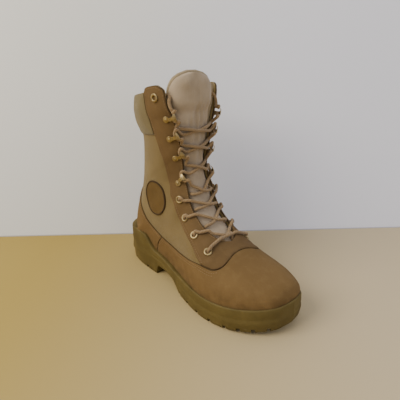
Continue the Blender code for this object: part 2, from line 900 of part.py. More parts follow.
def make_tongue(finish):
    """Padded tongue behind the facings, from under the vamp to above the collar."""
    shaft = range(FOOT_COUNT + 1, GRID_STATIONS, 2)
    stations = [float(place) for place in range(int(station_at(0.610)), FOOT_COUNT)]
    stations += [float(place) for place in shaft if level_at(place) < TONGUE_TOP_LEVELS[0]]
    stations += [station_at(level) for level in TONGUE_TOP_LEVELS]
    half = len(TONGUE_PROFILE) - 1
    rows = []
    for station in stations:
        points = []
        level = level_at(station)
        reach = table(TONGUE_BAND, level) * TONGUE_LAP
        for side, order in ((LATERAL, range(half, 0, -1)), (MEDIAL, range(half + 1))):
            width = throat_arc(side, station) + reach
            if side == MEDIAL:
                width -= table(TONGUE_LEAN, level)
            points += [(side, station, width * step / half) for step in order]
        rows.append(points)
    face = WALL + TONGUE_CLEARANCE
    last = len(rows) - 1

    def profile(row, column):
        outer, inner, tuck = TONGUE_PROFILE[min(column, 2 * half - column)]
        collar = smooth((level_at(rows[row][0][1]) - 1.75) / 0.15)
        return outer + tuck * collar, inner + tuck * collar

    def outside(row, column):
        foot = TONGUE_FOOT_CLEARANCE * (1.0 - smooth(row / 4.0))
        return -face - foot - TONGUE_THICKNESS * profile(row, column)[0]

    def inside(row, column):
        outer, inner = profile(row, column)
        foot = 0.45 + 0.55 * smooth(row / 3.0)
        top = min(1.0, 0.55 + 0.20 * (last - row))
        body = -face - TONGUE_THICKNESS * (outer + (inner - outer) * foot * top)
        return body - TONGUE_FOOT_CLEARANCE * (1.0 - smooth(row / 4.0))

    return band_patch("tongue", rows, 2 * half, inside, outside, finish)


def ring_solid(name, levels, finish):
    """Solid of stacked plan rings, capped below and above by strips across the foot."""
    count = len(SOLE_STATIONS)
    vertices = []
    for level in levels:
        for side, stations in ((LATERAL, range(count)), (MEDIAL, range(count - 2, 0, -1))):
            for place in stations:
                share = SOLE_STATIONS[place]
                height, inset = level(share)
                x, y = sole_point(side, share, inset)
                vertices.append((x, y, height))
    size = 2 * count - 2
    faces = []
    for ring in range(len(levels) - 1):
        for place in range(size):
            after = (place + 1) % size
            faces.append([ring * size + place, ring * size + after,
                          (ring + 1) * size + after, (ring + 1) * size + place])
    for ring, flip in ((0, True), (len(levels) - 1, False)):
        base = ring * size
        for place in range(count - 1):
            face = [base + place, base + place + 1,
                    base + (size - place - 1) % size, base + (size - place) % size]
            face = list(dict.fromkeys(face))
            faces.append(face[::-1] if flip else face)
    thing = add_object(name, vertices, faces, finish)
    point_outwards(thing.data)
    return thing


def heel_lean(share):
    return HEEL_CUP_LEAN * max(1.0 - share / 0.09, 0.0)


def step_level(share):
    return max(step_height(share), ground_height(share) + TREAD_EDGE)


def bottom_inset(share):
    return TREAD_TAPER + (HEEL_TAPER - TREAD_TAPER) * smooth((0.40 - share) / 0.10)


def make_outsole(finish, cutters):
    """Moulded sole: lug tread, arch, stepped side, rim round the vamp and cup round the heel."""
    def tread(share):
        return ground_height(share), bottom_inset(share)

    def tread_edge(share):
        return ground_height(share) + SOLE_EDGE_ROUND, bottom_inset(share) - SOLE_EDGE_ROUND

    def below_step(share):
        depth = SIDE_STEP * smooth((0.42 - share) / 0.12)
        return step_level(share) - STEP_BAND, SIDE_RELIEF + depth

    def above_step(share):
        return step_level(share), SIDE_RELIEF

    def rim_edge(share):
        return rim_height(share) - SOLE_EDGE_ROUND, SIDE_RELIEF + heel_lean(share)

    def rim(share):
        return rim_height(share), SIDE_RELIEF + SOLE_EDGE_ROUND + heel_lean(share)

    sole = ring_solid("outsole", [tread, tread_edge, below_step, above_step, rim_edge, rim],
                      finish)
    cut(sole, cutters["form"])
    for cutter in cutters["tread"]:
        cut(sole, cutter)
    return sole


def make_insole(finish):
    """Flat insole that fills the upper's foot and follows the seat."""
    rows = []
    for station in range(1, FOOT_COUNT + 1):
        margin = INSOLE_MARGIN * (1.0 if station < FOOT_COUNT - 2 else 5.0)
        rows.append([lifted(side, float(station), section_length(side, station), -WALL - margin)
                     for side in SIDES])
    rows[0] = [rows[0][0] * 0.8 + rows[0][1] * 0.2, rows[0][0] * 0.2 + rows[0][1] * 0.8]
    vertices = []
    for lift in (0.0, INSOLE_THICKNESS):
        for row in rows:
            for point in row:
                vertices.append(point + np.array([0.0, 0.0, lift]))
    count = len(rows)
    faces = []
    for row in range(count - 1):
        near = 2 * row
        faces.append([near, near + 1, near + 3, near + 2])
        faces.append([2 * count + place for place in (near, near + 2, near + 3, near + 1)])
        for place, step in ((near, 2), (near + 3, -2)):
            faces.append([place, place + step, place + step + 2 * count, place + 2 * count])
    for place in (0, 2 * count - 2):
        faces.append([place, place + 1, place + 1 + 2 * count, place + 2 * count])
    thing = add_object("insole", vertices, faces, finish)
    point_outwards(thing.data)
    return thing


def make_form_cutter():
    """Foot form grown by the leather and its clearances, which hollows the sole."""
    last = FOOT_COUNT + 4
    faces = grid_faces(0, last)
    points = grid_points(0, last, FORM_CLEARANCE)
    for station in range(last + 1):
        if station < FOOT_COUNT:
            for side in SIDES:
                points[grid_key(side, station, COLUMNS)][2] -= GAP
    for column in range(COLUMNS + 1):
        key = grid_key(LATERAL, 0, column)
        if column == COLUMNS:
            points[key][2] = seat_height(FOOT_SECTIONS[0][0])
    for station in range(last):
        for column, flip in ((0, False), (COLUMNS, True)):
            corners = [grid_key(LATERAL, station, column), grid_key(LATERAL, station + 1, column),
                       grid_key(MEDIAL, station + 1, column), grid_key(MEDIAL, station, column)]
            face = list(dict.fromkeys(corners))
            if len(face) > 2:
                faces.append(face[::-1] if flip else face)
    top = [grid_key(LATERAL, last, column) for column in range(COLUMNS + 1)]
    top += [grid_key(MEDIAL, last, column) for column in range(COLUMNS - 1, -1, -1)]
    faces.append(list(dict.fromkeys(top)))
    keys = sorted({key for face in faces for key in face}, key=str)
    index = {key: place for place, key in enumerate(keys)}
    form = add_object("foot_form", [points[key] for key in keys],
                      [[index[key] for key in face] for face in faces],
                      bpy.data.materials["cutter"])
    point_outwards(form.data)
    return form


def groove_prism(name, path, bottom, top):
    """Cutter of the groove's width along a plan path of two or more points."""
    path = [np.array(point) for point in path]
    left = []
    right = []
    for place, point in enumerate(path):
        ahead = path[min(place + 1, len(path) - 1)]
        behind = path[max(place - 1, 0)]
        along = (ahead - behind) / np.linalg.norm(ahead - behind)
        across = np.array([-along[1], along[0]]) * LUG_GROOVE / 2
        left.append(point + across)
        right.append(point - across)
    ring = left + right[::-1]
    work = bmesh.new()
    face = work.faces.new([work.verts.new((point[0], point[1], bottom)) for point in ring])
    grown = bmesh.ops.extrude_face_region(work, geom=[face])
    moved = [item for item in grown["geom"] if isinstance(item, bmesh.types.BMVert)]
    bmesh.ops.translate(work, verts=moved, vec=(0.0, 0.0, top - bottom))
    bmesh.ops.recalc_face_normals(work, faces=work.faces[:])
    mesh = bpy.data.meshes.new(name)
    work.to_mesh(mesh)
    work.free()
    return bpy.data.objects.new(name, mesh)


def make_tread_cutters():
    """V grooves across heel and forefoot, and short notches round the toe and heel ends."""
    cutters = []
    outside = -GROOVE_OVERRUN
    for number, (edge, middle) in enumerate(TREAD_GROOVES):
        path = [sole_point(LATERAL, edge, outside), (station_x(middle), 0.0),
                sole_point(MEDIAL, edge, outside)]
        top = toe_spring(edge) + LUG_DEPTH
        cutters.append(groove_prism(f"groove_{number}", path, -GROOVE_OVERRUN, top))
    for number, share in enumerate(EDGE_NOTCHES + HEEL_NOTCHES):
        for side in SIDES:
            path = [sole_point(side, share, outside), sole_point(side, share, NOTCH_LENGTH)]
            top = toe_spring(share) + LUG_DEPTH
            name = f"notch_{number}_{'lateral' if side == LATERAL else 'medial'}"
            cutters.append(groove_prism(name, path, -GROOVE_OVERRUN, top))
    return cutters


# Hardware on the facings

def facing_corners(side, station, arc):
    """Corners of the facing's facet under a point, and the point's shares across and along it."""
    low = int(station)
    along = station - low
    columns = range(FACING_COLUMNS + 1)
    arcs = [[grid_arc(side, place, column) for column in columns] for place in (low, low + 1)]
    here = [near + along * (far - near) for near, far in zip(*arcs)]
    column = min(float(np.interp(arc, here, columns)), FACING_COLUMNS - 1e-6)
    first = int(column)
    corners = [lifted(side, float(place), arcs[place - low][first + step], GAP + FACING)
               for place in (low, low + 1) for step in (0, 1)]
    return corners, column - first, along


def mount_frame(side, row):
    """Origin on the facing's face, x towards the throat, z outwards."""
    level, setback = row
    station = station_at(level)
    arc = throat_arc(side, station) + setback * FACING_WIDTH
    (near, far, near_above, far_above), across, along = facing_corners(side, station, arc)
    under = near + across * (far - near)
    over = near_above + across * (far_above - near_above)
    origin = under + along * (over - under)
    inward = (near - far) + along * (near_above - far_above - near + far)
    outward = np.cross(over - under, inward) * side
    outward /= np.linalg.norm(outward)
    inward /= np.linalg.norm(inward)
    frame = Matrix.Identity(4)
    axes = (inward, np.cross(outward, inward), outward)
    for column, axis in enumerate(axes):
        for row in range(3):
            frame[row][column] = axis[row]
    for row in range(3):
        frame[row][3] = origin[row]
    return frame


def make_hole_cutter():
    """Bores of all ten eyelets through facing and wall, as one cutter."""
    work = bmesh.new()
    radius = (EYELET_BARREL + GAP * 1.6) / math.cos(math.pi / EYELET_SIDES)
    depth = FACING + WALL + 2 * GAP
    for side in SIDES:
        for row in EYELET_ROWS + [TAB_ROW]:
            place = mount_frame(side, row) @ Matrix.Translation((0.0, 0.0, -depth / 2))
            bmesh.ops.create_cone(work, cap_ends=True, segments=EYELET_SIDES, radius1=radius,
                                  radius2=radius, depth=depth + 0.008, matrix=place)
    mesh = bpy.data.meshes.new("eyelet_bores")
    work.to_mesh(mesh)
    work.free()
    return bpy.data.objects.new("eyelet_bores", mesh)


def eyelet_mesh(finish):
    """Turned ring: flange on the facing and barrel through facing and wall."""
    low = -(FACING + WALL + 2 * GAP)
    profile = [
        (EYELET_BORE, SEAT_LIFT + EYELET_HEIGHT),
        (EYELET_FLANGE, SEAT_LIFT),
        (EYELET_BARREL, SEAT_LIFT),
        (EYELET_BARREL, low),
        (EYELET_BORE, low),
    ]
    work = bmesh.new()
    ring = [work.verts.new((radius, 0.0, height)) for radius, height in profile]
    edges = [work.edges.new((start, end)) for start, end in zip(ring, ring[1:] + ring[:1])]
    bmesh.ops.spin(work, geom=ring + edges, cent=(0, 0, 0), axis=(0, 0, 1), use_merge=True,
                   angle=2 * math.pi, steps=EYELET_SIDES)
    bmesh.ops.remove_doubles(work, verts=work.verts[:], dist=1e-6)
    bmesh.ops.recalc_face_normals(work, faces=work.faces[:])
    mesh = bpy.data.meshes.new("eyelet")
    work.to_mesh(mesh)
    work.free()
    mesh.materials.append(finish)
    return mesh


def hook_mesh(finish):
    """Speed hook: riveted base, an arm to the throat edge and an upturned lip."""
    base = HOOK_BASE / 2
    arm = HOOK_ARM_WIDTH / 2
    lip = HOOK_LIP / 2
    low = SEAT_LIFT
    high = SEAT_LIFT + HOOK_PLATE
    rise = high + HOOK_LIP_RISE
    rows = [
        # distance towards the throat, half width, underside, top
        (-base, base * 0.55, low, high),
        (-base * 0.5, base * 0.95, low, high),
        (base * 0.5, base * 0.95, low, high),
        (base, base * 0.62, low, high),
        (HOOK_ARM - 0.0045, arm, low + 0.0012, high + 0.0014),
        (HOOK_ARM - 0.0014, arm, rise - 0.0022, rise - 0.0008),
        (HOOK_ARM, lip, rise - 0.0012, rise),
        (HOOK_ARM + 0.0012, lip, rise - 0.0004, rise + 0.0006),
    ]
    work = bmesh.new()
    rings = []
    for x, half, under, over in rows:
        rings.append([work.verts.new(point) for point in (
            (x, -half, under), (x, half, under), (x, half, over), (x, -half, over))])
    for start, end in zip(rings, rings[1:]):
        for place in range(4):
            after = (place + 1) % 4
            work.faces.new([start[place], start[after], end[after], end[place]])
    work.faces.new(rings[0][::-1])
    work.faces.new(rings[-1])
    bmesh.ops.recalc_face_normals(work, faces=work.faces[:])
    mesh = bpy.data.meshes.new("hook")
    work.to_mesh(mesh)
    work.free()
    mesh.materials.append(finish)
    return mesh


def make_hardware(finish):
    pieces = []
    ring = eyelet_mesh(finish)
    hook = hook_mesh(finish)
    for side, word in ((LATERAL, "lateral"), (MEDIAL, "medial")):
        for number, row in enumerate(EYELET_ROWS + [TAB_ROW], start=1):
            label = "tab" if row == TAB_ROW else str(number)
            eyelet = bpy.data.objects.new(f"eyelet_{word}_{label}", ring)
            eyelet.matrix_world = mount_frame(side, row)
            pieces.append(eyelet)
        for number, row in enumerate(HOOK_ROWS, start=1):
            piece = bpy.data.objects.new(f"hook_{word}_{number}", hook)
            piece.matrix_world = mount_frame(side, row)
            pieces.append(piece)
    return pieces


# Lace

def lace_point(side, level, from_throat, height):
    """Point over the boot: distance from the throat edge (back is positive), and height."""
    station = station_at(level)
    arc = throat_arc(side, station) + from_throat
    return lifted(side, station, arc, height)


def crown_point(level, offset, height):
    """Point over the tongue, offset sideways from the middle."""
    station = station_at(level)
    side = LATERAL if offset < 0.0 else MEDIAL
    return lifted(side, station, arc_at_width(side, station, abs(offset)), height)


def cord(name, points, diameter, finish, resolution):
    """Round cord as a curve with filled ends."""
    curve = bpy.data.curves.new(name, "CURVE")
    curve.dimensions = "3D"
    curve.bevel_depth = diameter / 2
    curve.bevel_resolution = resolution
    curve.use_fill_caps = True
    spline = curve.splines.new("POLY")
    spline.points.add(len(points) - 1)
    for place, point in enumerate(points):
        spline.points[place].co = (*map(float, point), 1.0)
    curve.materials.append(finish)
    return bpy.data.objects.new(name, curve)


def tube(name, points, diameter, finish):
    """The same cord as a closed mesh, to be joined with another."""
    holder = cord(f"{name}_path", points, diameter, finish, LACE_SIDES // 2 - 2)
    bpy.context.scene.collection.objects.link(holder)
    bpy.context.view_layer.update()
    evaluated = holder.evaluated_get(bpy.context.evaluated_depsgraph_get())
    mesh = bpy.data.meshes.new_from_object(evaluated)
    bpy.data.objects.remove(holder)
    mesh.name = name
    work = bmesh.new()
    work.from_mesh(mesh)
    bmesh.ops.remove_doubles(work, verts=work.verts[:], dist=1e-6)
    bmesh.ops.recalc_face_normals(work, faces=work.faces[:])
    work.to_mesh(mesh)
    work.free()
    return bpy.data.objects.new(name, mesh)


def lace_heights():
    over_tongue = -WALL - TONGUE_CLEARANCE + LACE / 2 + 2 * GAP
    over_facing = GAP + FACING + LACE / 2 + 2 * GAP
    return over_tongue, over_facing


def hook_side(side, level, shift):
    """Points beside a hook's lip, over the throat edge, shifted along the facing."""
    _, over_facing = lace_heights()
    return [lace_point(side, level + shift, LACE_HOOK_REACH, over_facing),
            lace_point(side, level + 1.25 * shift, LACE_HOOK_REACH - 0.8 * LACE,
                       over_facing - 0.25 * LACE)]


def eyelet_side(side, row):
    """Points from the throat edge to just short of an eyelet's flange."""
    _, over_facing = lace_heights()
    level, setback = row
    reach = setback * FACING_WIDTH - EYELET_FLANGE - 0.35 * LACE
    return [lace_point(side, level, 0.2 * LACE, over_facing + 2.5 * LACE_SLACK),
            lace_point(side, level, reach, over_facing + LACE_SLACK)]


def crossing_path(side, low_row, high_row, first, lift):
    """From one side's lower row, over the tongue, to the other side's upper row."""
    over_tongue, _ = lace_heights()
    low = low_row[0]
    rise = high_row[0] - low
    start = table(THROAT, low) * THROAT_WIDTH / 2 - LACE
    end = table(THROAT, high_row[0]) * THROAT_WIDTH / 2 - LACE
    last = LACE_REACH
    points = []
    if low_row in HOOK_ROWS:
        points += hook_side(side, low, HOOK_LACE_SHIFT)
        start -= 0.8 * LACE
        first = 0.30
    if high_row in HOOK_ROWS:
        last = LACE_REACH - 0.08
    for step in range(LACE_STEPS):
        t = step / (LACE_STEPS - 1)
        offset = side * (start - (start + end) * t)
        level = low + rise * (first + (last - first) * t ** LACE_DROOP)
        points.append(crown_point(level, offset, over_tongue + LACE_SLACK + lift))
    if high_row in HOOK_ROWS:
        points += hook_side(-side, high_row[0], -HOOK_LACE_SHIFT)[::-1]
    else:
        points += eyelet_side(-side, high_row)
    return points


def end_path(side):
    """From the top hook, up the facing's front edge and in behind the tab to its eyelet."""
    _, over_facing = lace_heights()
    behind = -WALL - LACE / 2 - 4 * GAP
    low = HOOK_ROWS[-1][0]
    high, setback = TAB_ROW
    rows = [
        # share of the way to the tab's eyelet, distance behind the throat edge, height
        (0.20, LACE_HOOK_REACH, over_facing),
        (0.36, -0.70 * LACE, 0.60 * LACE),
        (0.56, -0.75 * LACE, 0.20 * LACE),
        (0.74, -0.80 * LACE, -0.20 * LACE),
        (0.87, -0.90 * LACE, 0.75 * behind),
        (0.97, -0.30 * LACE, 1.24 * behind),
        (1.02, 1.20 * LACE, 1.16 * behind),
        (1.00, setback * FACING_WIDTH, 1.06 * behind),
    ]
    points = [lace_point(side, low + (high - low) * share, back, height)
              for share, back, height in rows]
    return [tuple(point) for point in catmull(points, [1, 1, 1, 2, 2, 2, 2])]


def make_lace(finish, tools):
    """Bar across the lowest eyelets, crossings between the rows, and the two ends."""
    over_tongue, _ = lace_heights()
    rows = EYELET_ROWS + HOOK_ROWS
    level = rows[0][0]
    half = table(THROAT, level) * THROAT_WIDTH / 2
    bar = eyelet_side(LATERAL, rows[0])[::-1]
    bar += [crown_point(level, offset, over_tongue + 0.8 * LACE)
            for offset in (LACE - half, 0.0, half - LACE)]
    bar += eyelet_side(MEDIAL, rows[0])
    pieces = [tube("lace_bar", bar, LACE, finish)]
    for number, (low, high) in enumerate(zip(rows, rows[1:]), start=1):
        first = 0.24 if low == rows[0] else 0.04
        crossing = tube(f"lace_crossing_{number}", crossing_path(LATERAL, low, high, first, 0.0),
                        LACE, finish)
        other = tube(f"lace_return_{number}", crossing_path(MEDIAL, low, high, first, LACE_OVERLAY),
                     LACE, finish)
        other.hide_render = True
        other.display_type = "WIRE"
        tools.objects.link(other)
        cut(crossing, other, "UNION")
        pieces.append(crossing)
    for side, word in ((LATERAL, "lateral"), (MEDIAL, "medial")):
        pieces.append(cord(f"lace_end_{word}", end_path(side), LACE, finish, 2))
    return pieces


def make_cutters():
    cutters = {}
    rim = rim_line()
    cutters["rim"] = side_prism("rim_line", above(rim, FRONT_HEIGHT + 0.08))
    half = GAP / 2
    under = side_curve(FOXING, 3, -half)
    over = side_curve(FOXING, 3, half)
    seam_front = side_curve(HEEL_SEAM, 3, half)
    seam_back = side_curve(HEEL_SEAM, 3, -half)
    floor = -0.02
    front = station_x(1.0) + 0.03
    back = station_x(0.0) - 0.03

    def ahead(line, x):
        return [point for point in line if point[0] > x]

    def behind(line, x):
        return [point for point in line if point[0] < x]

    def below(line, z):
        return [point for point in line if point[1] < z]

    front_seam = below(seam_front, line_height(under, seam_front) - half)
    back_seam = below(seam_back, line_height(under, seam_back) - half)
    vamp = ahead(under, front_seam[0][0] + 0.001)
    vamp += [(front, vamp[-1][1]), (front, floor)] + front_seam[::-1]
    counter = behind(under, back_seam[0][0] - 0.001) + back_seam
    counter += [(back, floor)]
    facing = over + [(front, over[-1][1]), (front, FRONT_HEIGHT + 0.08),
                     (back, FRONT_HEIGHT + 0.08)]
    cutters["vamp"] = side_prism("vamp_outline", vamp)
    cutters["counter"] = side_prism("counter_outline", counter)
    cutters["facing"] = side_prism("facing_outline", facing)
    cutters["patch"] = side_prism("patch_outline", patch_outline())
    cutters["holes"] = make_hole_cutter()
    cutters["form"] = make_form_cutter()
    cutters["tread"] = make_tread_cutters()
    return cutters


def line_height(line, seam):
    """Height at which a seam meets a side-view line."""
    x = seam[0][0]
    order = sorted(line)
    return float(np.interp(x, [point[0] for point in order], [point[1] for point in order]))


def main():
    for thing in list(bpy.data.objects):
        bpy.data.objects.remove(thing, do_unlink=True)
    scene = bpy.context.scene
    boot = bpy.data.collections.new("combat_boot")
    tools = bpy.data.collections.new("cutters")
    scene.collection.children.link(boot)
    scene.collection.children.link(tools)

    textile = make_finish("textile", (0.40, 0.29, 0.14), 0.85)
    suede = make_finish("suede", (0.34, 0.20, 0.10), 0.90)
    facing = make_finish("facing_suede", (0.30, 0.17, 0.085), 0.90)
    padding = make_finish("collar_textile", (0.42, 0.34, 0.18), 0.85)
    tongue_cloth = make_finish("tongue_textile", (0.46, 0.34, 0.21), 0.80)
    rubber = make_finish("rubber", (0.17, 0.13, 0.05), 0.70)
    board = make_finish("insole_foam", (0.30, 0.24, 0.15), 0.90)
    brass = make_finish("brass", (0.62, 0.48, 0.24), 0.40, 1.0)
    cord = make_finish("lace_cord", (0.45, 0.31, 0.18), 0.85)
    make_finish("cutter", (0.5, 0.5, 0.5), 1.0)

    cutters = make_cutters()
    for cutter in cutters.values():
        for thing in (cutter if isinstance(cutter, list) else [cutter]):
            tools.objects.link(thing)
            thing.hide_render = True
            thing.display_type = "WIRE"

    pieces = [make_outsole(rubber, cutters), make_insole(board), make_upper(textile, cutters)]
    pieces += make_foot_leathers(suede, cutters)
    pieces += make_facings(facing, cutters)
    pieces += [make_collar(padding), make_ankle_patch(suede, cutters), make_tongue(tongue_cloth)]
    pieces += make_hardware(brass)
    pieces += make_lace(cord, tools)
    for piece in pieces:
        boot.objects.link(piece)
    for piece in pieces:
        if piece.type == "MESH" and piece.name not in ("outsole", "insole"):
            shade_round(piece.data)
    for thing in list(boot.objects) + list(tools.objects):
        thing.location.y += MIDLINE


main()
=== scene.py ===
"""Looks of the desert combat boot: leather skins, woven quarter, padded tongue and collar,
laces through their eyelets and hooks, stitches, and the moulded sole.
"""

import math

import bmesh
import bpy
import numpy as np
from mathutils import Matrix, Vector
from mathutils.bvhtree import BVHTree


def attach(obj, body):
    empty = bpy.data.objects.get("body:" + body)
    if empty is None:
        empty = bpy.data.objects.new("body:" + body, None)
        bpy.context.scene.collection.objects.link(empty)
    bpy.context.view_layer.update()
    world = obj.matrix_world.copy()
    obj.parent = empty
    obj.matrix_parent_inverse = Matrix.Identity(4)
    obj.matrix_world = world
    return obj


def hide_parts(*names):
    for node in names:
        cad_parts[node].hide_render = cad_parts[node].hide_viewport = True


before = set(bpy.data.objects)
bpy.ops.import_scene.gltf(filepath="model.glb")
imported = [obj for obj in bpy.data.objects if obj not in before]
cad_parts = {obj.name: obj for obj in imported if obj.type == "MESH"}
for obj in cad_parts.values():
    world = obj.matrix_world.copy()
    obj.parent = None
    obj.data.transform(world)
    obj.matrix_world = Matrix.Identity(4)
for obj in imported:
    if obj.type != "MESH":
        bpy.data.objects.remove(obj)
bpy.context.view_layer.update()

# Sizes of the boot in metres, as in the part
LENGTH = 0.296
BALL_WIDTH = 0.107
HEEL_SEAT = 0.032
FOREFOOT_SEAT = 0.020
TOE_SPRING = 0.0085
INSTEP_HEIGHT = 0.1195
FRONT_HEIGHT = 0.258
BACK_HEIGHT = 0.249
ANKLE_WIDTH = 0.070
COLLAR_WIDTH = 0.090
MIDLINE = 0.00165
GAP = 0.0003
WALL = 0.0022
LEATHER = 0.0016
FACING = 0.0020
FEATHER_INSET = 0.0075
ARCH_HEIGHT = 0.015
RIM_RISE = 0.010
HEEL_CUP_RISE = 0.016
HEEL_CUP_LEAN = 0.0064
EDGE_ROUND = 0.0016
TREAD_TAPER = 0.0030
HEEL_TAPER = 0.0042
SIDE_STEP = 0.0013
SIDE_RELIEF = 0.0004
STEP_BAND = 0.0010
TREAD_EDGE = 0.0035
LUG_GROOVE = 0.0045
LUG_DEPTH = 0.0050
NOTCH_LENGTH = 0.018
THROAT_WIDTH = 0.040
FACING_WIDTH = 0.030
TAB_RISE = 0.0055
TONGUE_LAP = 0.012
TONGUE_THICKNESS = 0.0070
TONGUE_CLEARANCE = 0.0012
COLLAR_EDGE = 0.0012
COLLAR_PADDING = 0.0036
COLLAR_FOOT_BACK = 0.2013
COLLAR_FOOT_SLOPE = 0.10
COLLAR_SEARCH = 3.0
RIM_SLOPE = 0.14
RIM_LEVEL = 2.02
RIM_OVERRUN = 0.02
PATCH_HEIGHT = 0.047
PATCH_WIDTH = 0.038
PATCH_THICKNESS = 0.0013
PATCH_STATION = 0.322
PATCH_LEVEL = 1.005
EYELET_BORE = 0.0025
EYELET_BARREL = 0.0029
EYELET_FLANGE = 0.0052
EYELET_HEIGHT = 0.0011
SEAT_LIFT = 0.00055
HOOK_BASE = 0.0092
HOOK_PLATE = 0.0010
HOOK_PLATE_SHARE = 0.86
HOOK_ARM = 0.0145
HOOK_ARM_WIDTH = 0.0052
HOOK_LIP = 0.0095
LACE = 0.0040
LACE_SLACK = 0.0010
LACE_OVERLAY = 0.0013
LACE_DROOP = 1.5
LACE_HOOK_LAST = 0.62
LACE_START = 0.02
LACE_FIRST_START = 0.16
LACE_HOOK_START = 0.14
LACE_FALL = 0.066
LACE_BOW = 0.150
FACING_LIMIT = 0.80
SWELL_REACH = 0.020
SWELL_STEEP = 0.55
PATCH_SPAN = (0.30, 0.92)
PATCH_BEVEL = 0.007
PATCH_RIM = 0.0012
PIPING_RADIUS = 0.00115
PIPING_LIFT = 0.0009
LINING_INSET = 0.0012
LINING_THICKNESS = 0.0009
INSOLE_THICKNESS = 0.0032
INSOLE_REACH = (0.045, 0.950)
BUMPER_THICKNESS = 0.0008
SIDE_GROOVE = 0.0006
RIM_TUCK = 0.0002
ROLL_LEAST = 0.35
FLUSH_FILL = 0.50
FLUSH_X = (0.050, 0.060)
FLUSH_Z = (0.072, 0.082)
STITCH_ROWS = (0.0022, 0.0046)
FACING_ROWS = (0.0022, 0.0044)
STITCH_INSET = 0.0022
STITCH_OUTER_ROWS = (0.0020, 0.0044)
STITCH_FRONT = 0.752
STITCH_LOW = 0.034
STITCH_TOP = 2.06
LATERAL = -1
MEDIAL = 1
SIDES = (LATERAL, MEDIAL)

# Spans over which a size grows in, as shares of LENGTH from none to all of it
SPRING_SPAN = (0.70, 1.00)
HEEL_SPAN = (0.50, 0.20)
CUP_SPAN = (0.305, 0.220)
TAPER_SPAN = (0.40, 0.30)
STEP_SPAN = (0.42, 0.30)
BUMPER_SPAN = (0.795, 0.807)
LEAN_SPAN = 0.09

# How the foot's sections ease into the shaft's: rise at the crown, rise at the seat, share
# where it ends, stations on each side
EASE_CROWN = 5.0
EASE_SEAT = 4.0
EASE_FOOT = 0.88
EASE_REACH = 4.0
EASE_WIDTH = 1.7

# Shares of a half section over which its outward direction turns level, at the seat, and
# square to the middle, at crown and back
SEAT_TURN = 0.08
SEAM_TURN = 0.03

# Half widths of the outsole: station as a share of LENGTH, outer and inner half width as
# shares of BALL_WIDTH
OUTLINE = [
    (0.000, 0.000, 0.000), (0.012, 0.152, 0.152), (0.040, 0.251, 0.251), (0.080, 0.314, 0.314),
    (0.140, 0.350, 0.350), (0.220, 0.368, 0.359), (0.300, 0.368, 0.332), (0.380, 0.368, 0.305),
    (0.460, 0.402, 0.318), (0.540, 0.449, 0.352), (0.620, 0.495, 0.410), (0.700, 0.519, 0.462),
    (0.770, 0.505, 0.486), (0.840, 0.458, 0.483), (0.900, 0.374, 0.447), (0.940, 0.290, 0.393),
    (0.970, 0.196, 0.330), (0.990, 0.093, 0.252), (1.000, -0.093, 0.093),
]

# Underside ahead of the heel breast: station, share of ARCH_HEIGHT
ARCH = [(0.305, 0.00), (0.318, 1.00), (0.400, 0.98), (0.460, 0.85), (0.490, 0.45), (0.525, 0.00)]

# Step on the sole's side: station, share of the height from ground to seat
SIDE_LINE = [(0.00, 0.50), (0.10, 0.57), (0.20, 0.70), (0.26, 0.80), (0.34, 0.92), (0.45, 0.86),
             (0.60, 0.62), (1.00, 0.62)]

FOOT_SECTIONS = [
    # seat, crown, level, outer, inner, widest, crown_power, side_power, swing, steps
    (0.9747, 0.9764, 0.247, 0.000, 0.000, 0.50, 2.00, 2.00, 0.080, 1),
    (0.9710, 0.9830, 0.339, 0.050, 0.050, 0.50, 2.20, 2.00, 0.072, 1),
    (0.9600, 0.9700, 0.418, 0.040, 0.038, 0.45, 2.30, 2.00, 0.062, 1),
    (0.9340, 0.9375, 0.464, 0.032, 0.030, 0.42, 2.30, 2.00, 0.050, 1),
    (0.8920, 0.8850, 0.512, 0.029, 0.025, 0.36, 2.30, 2.00, 0.035, 2),
    (0.8378, 0.8209, 0.558, 0.029, 0.025, 0.32, 2.25, 2.00, 0.020, 2),
    (0.7635, 0.7416, 0.629, 0.029, 0.025, 0.28, 2.20, 2.00, 0.008, 3),
    (0.6790, 0.6620, 0.747, 0.024, 0.024, 0.25, 2.20, 2.00, 0.000, 2),
    (0.5845, 0.5970, 0.873, 0.015, 0.043, 0.25, 2.30, 2.00, 0.000, 2),
    (0.4831, 0.5560, 1.000, 0.004, 0.062, 0.30, 2.40, 2.00, 0.000, 2),
    (0.3649, 0.5311, 1.105, 0.004, 0.080, 0.38, 2.40, 2.00, 0.000, 2),
    (0.2297, 0.5169, 1.202, 0.008, 0.071, 0.45, 2.40, 1.90, 0.000, 2),
    (0.1284, 0.5101, 1.278, 0.043, 0.062, 0.40, 2.30, 1.90, 0.000, 1),
    (0.0709, 0.5068, 1.336, 0.118, 0.118, 0.32, 2.30, 2.00, 0.000, 1),
]

SHAFT_SECTIONS = [
    # back, rise, crown, level, width, widest, crown_power, side_power
    (0.0541, 0.000, 0.5068, 1.372, -0.10, 0.31, 2.30, 2.00),
    (0.0507, 0.083, 0.5068, 1.415, -0.10, 0.34, 2.30, 1.95),
    (0.0640, 0.183, 0.5068, 1.459, -0.10, 0.40, 2.30, 1.90),
    (0.0870, 0.284, 0.5068, 1.509, -0.10, 0.47, 2.30, 1.85),
    (0.1110, 0.394, 0.5068, 1.574, 0.05, 0.54, 2.35, 1.80),
    (0.1290, 0.514, 0.5068, 1.653, 0.15, 0.58, 2.40, 1.75),
    (0.1400, 0.642, 0.5101, 1.740, 0.30, 0.60, 2.50, 1.70),
    (0.1370, 0.780, 0.5135, 1.841, 0.55, 0.62, 2.60, 1.70),
    (0.1290, 0.899, 0.5169, 1.942, 0.90, 0.64, 2.70, 1.75),
    (0.1240, 1.085, 0.5203, 2.200, 1.15, 0.64, 2.75, 1.75),
    (0.1240, 1.165, 0.5203, 2.290, 1.20, 0.64, 2.75, 1.75),
]

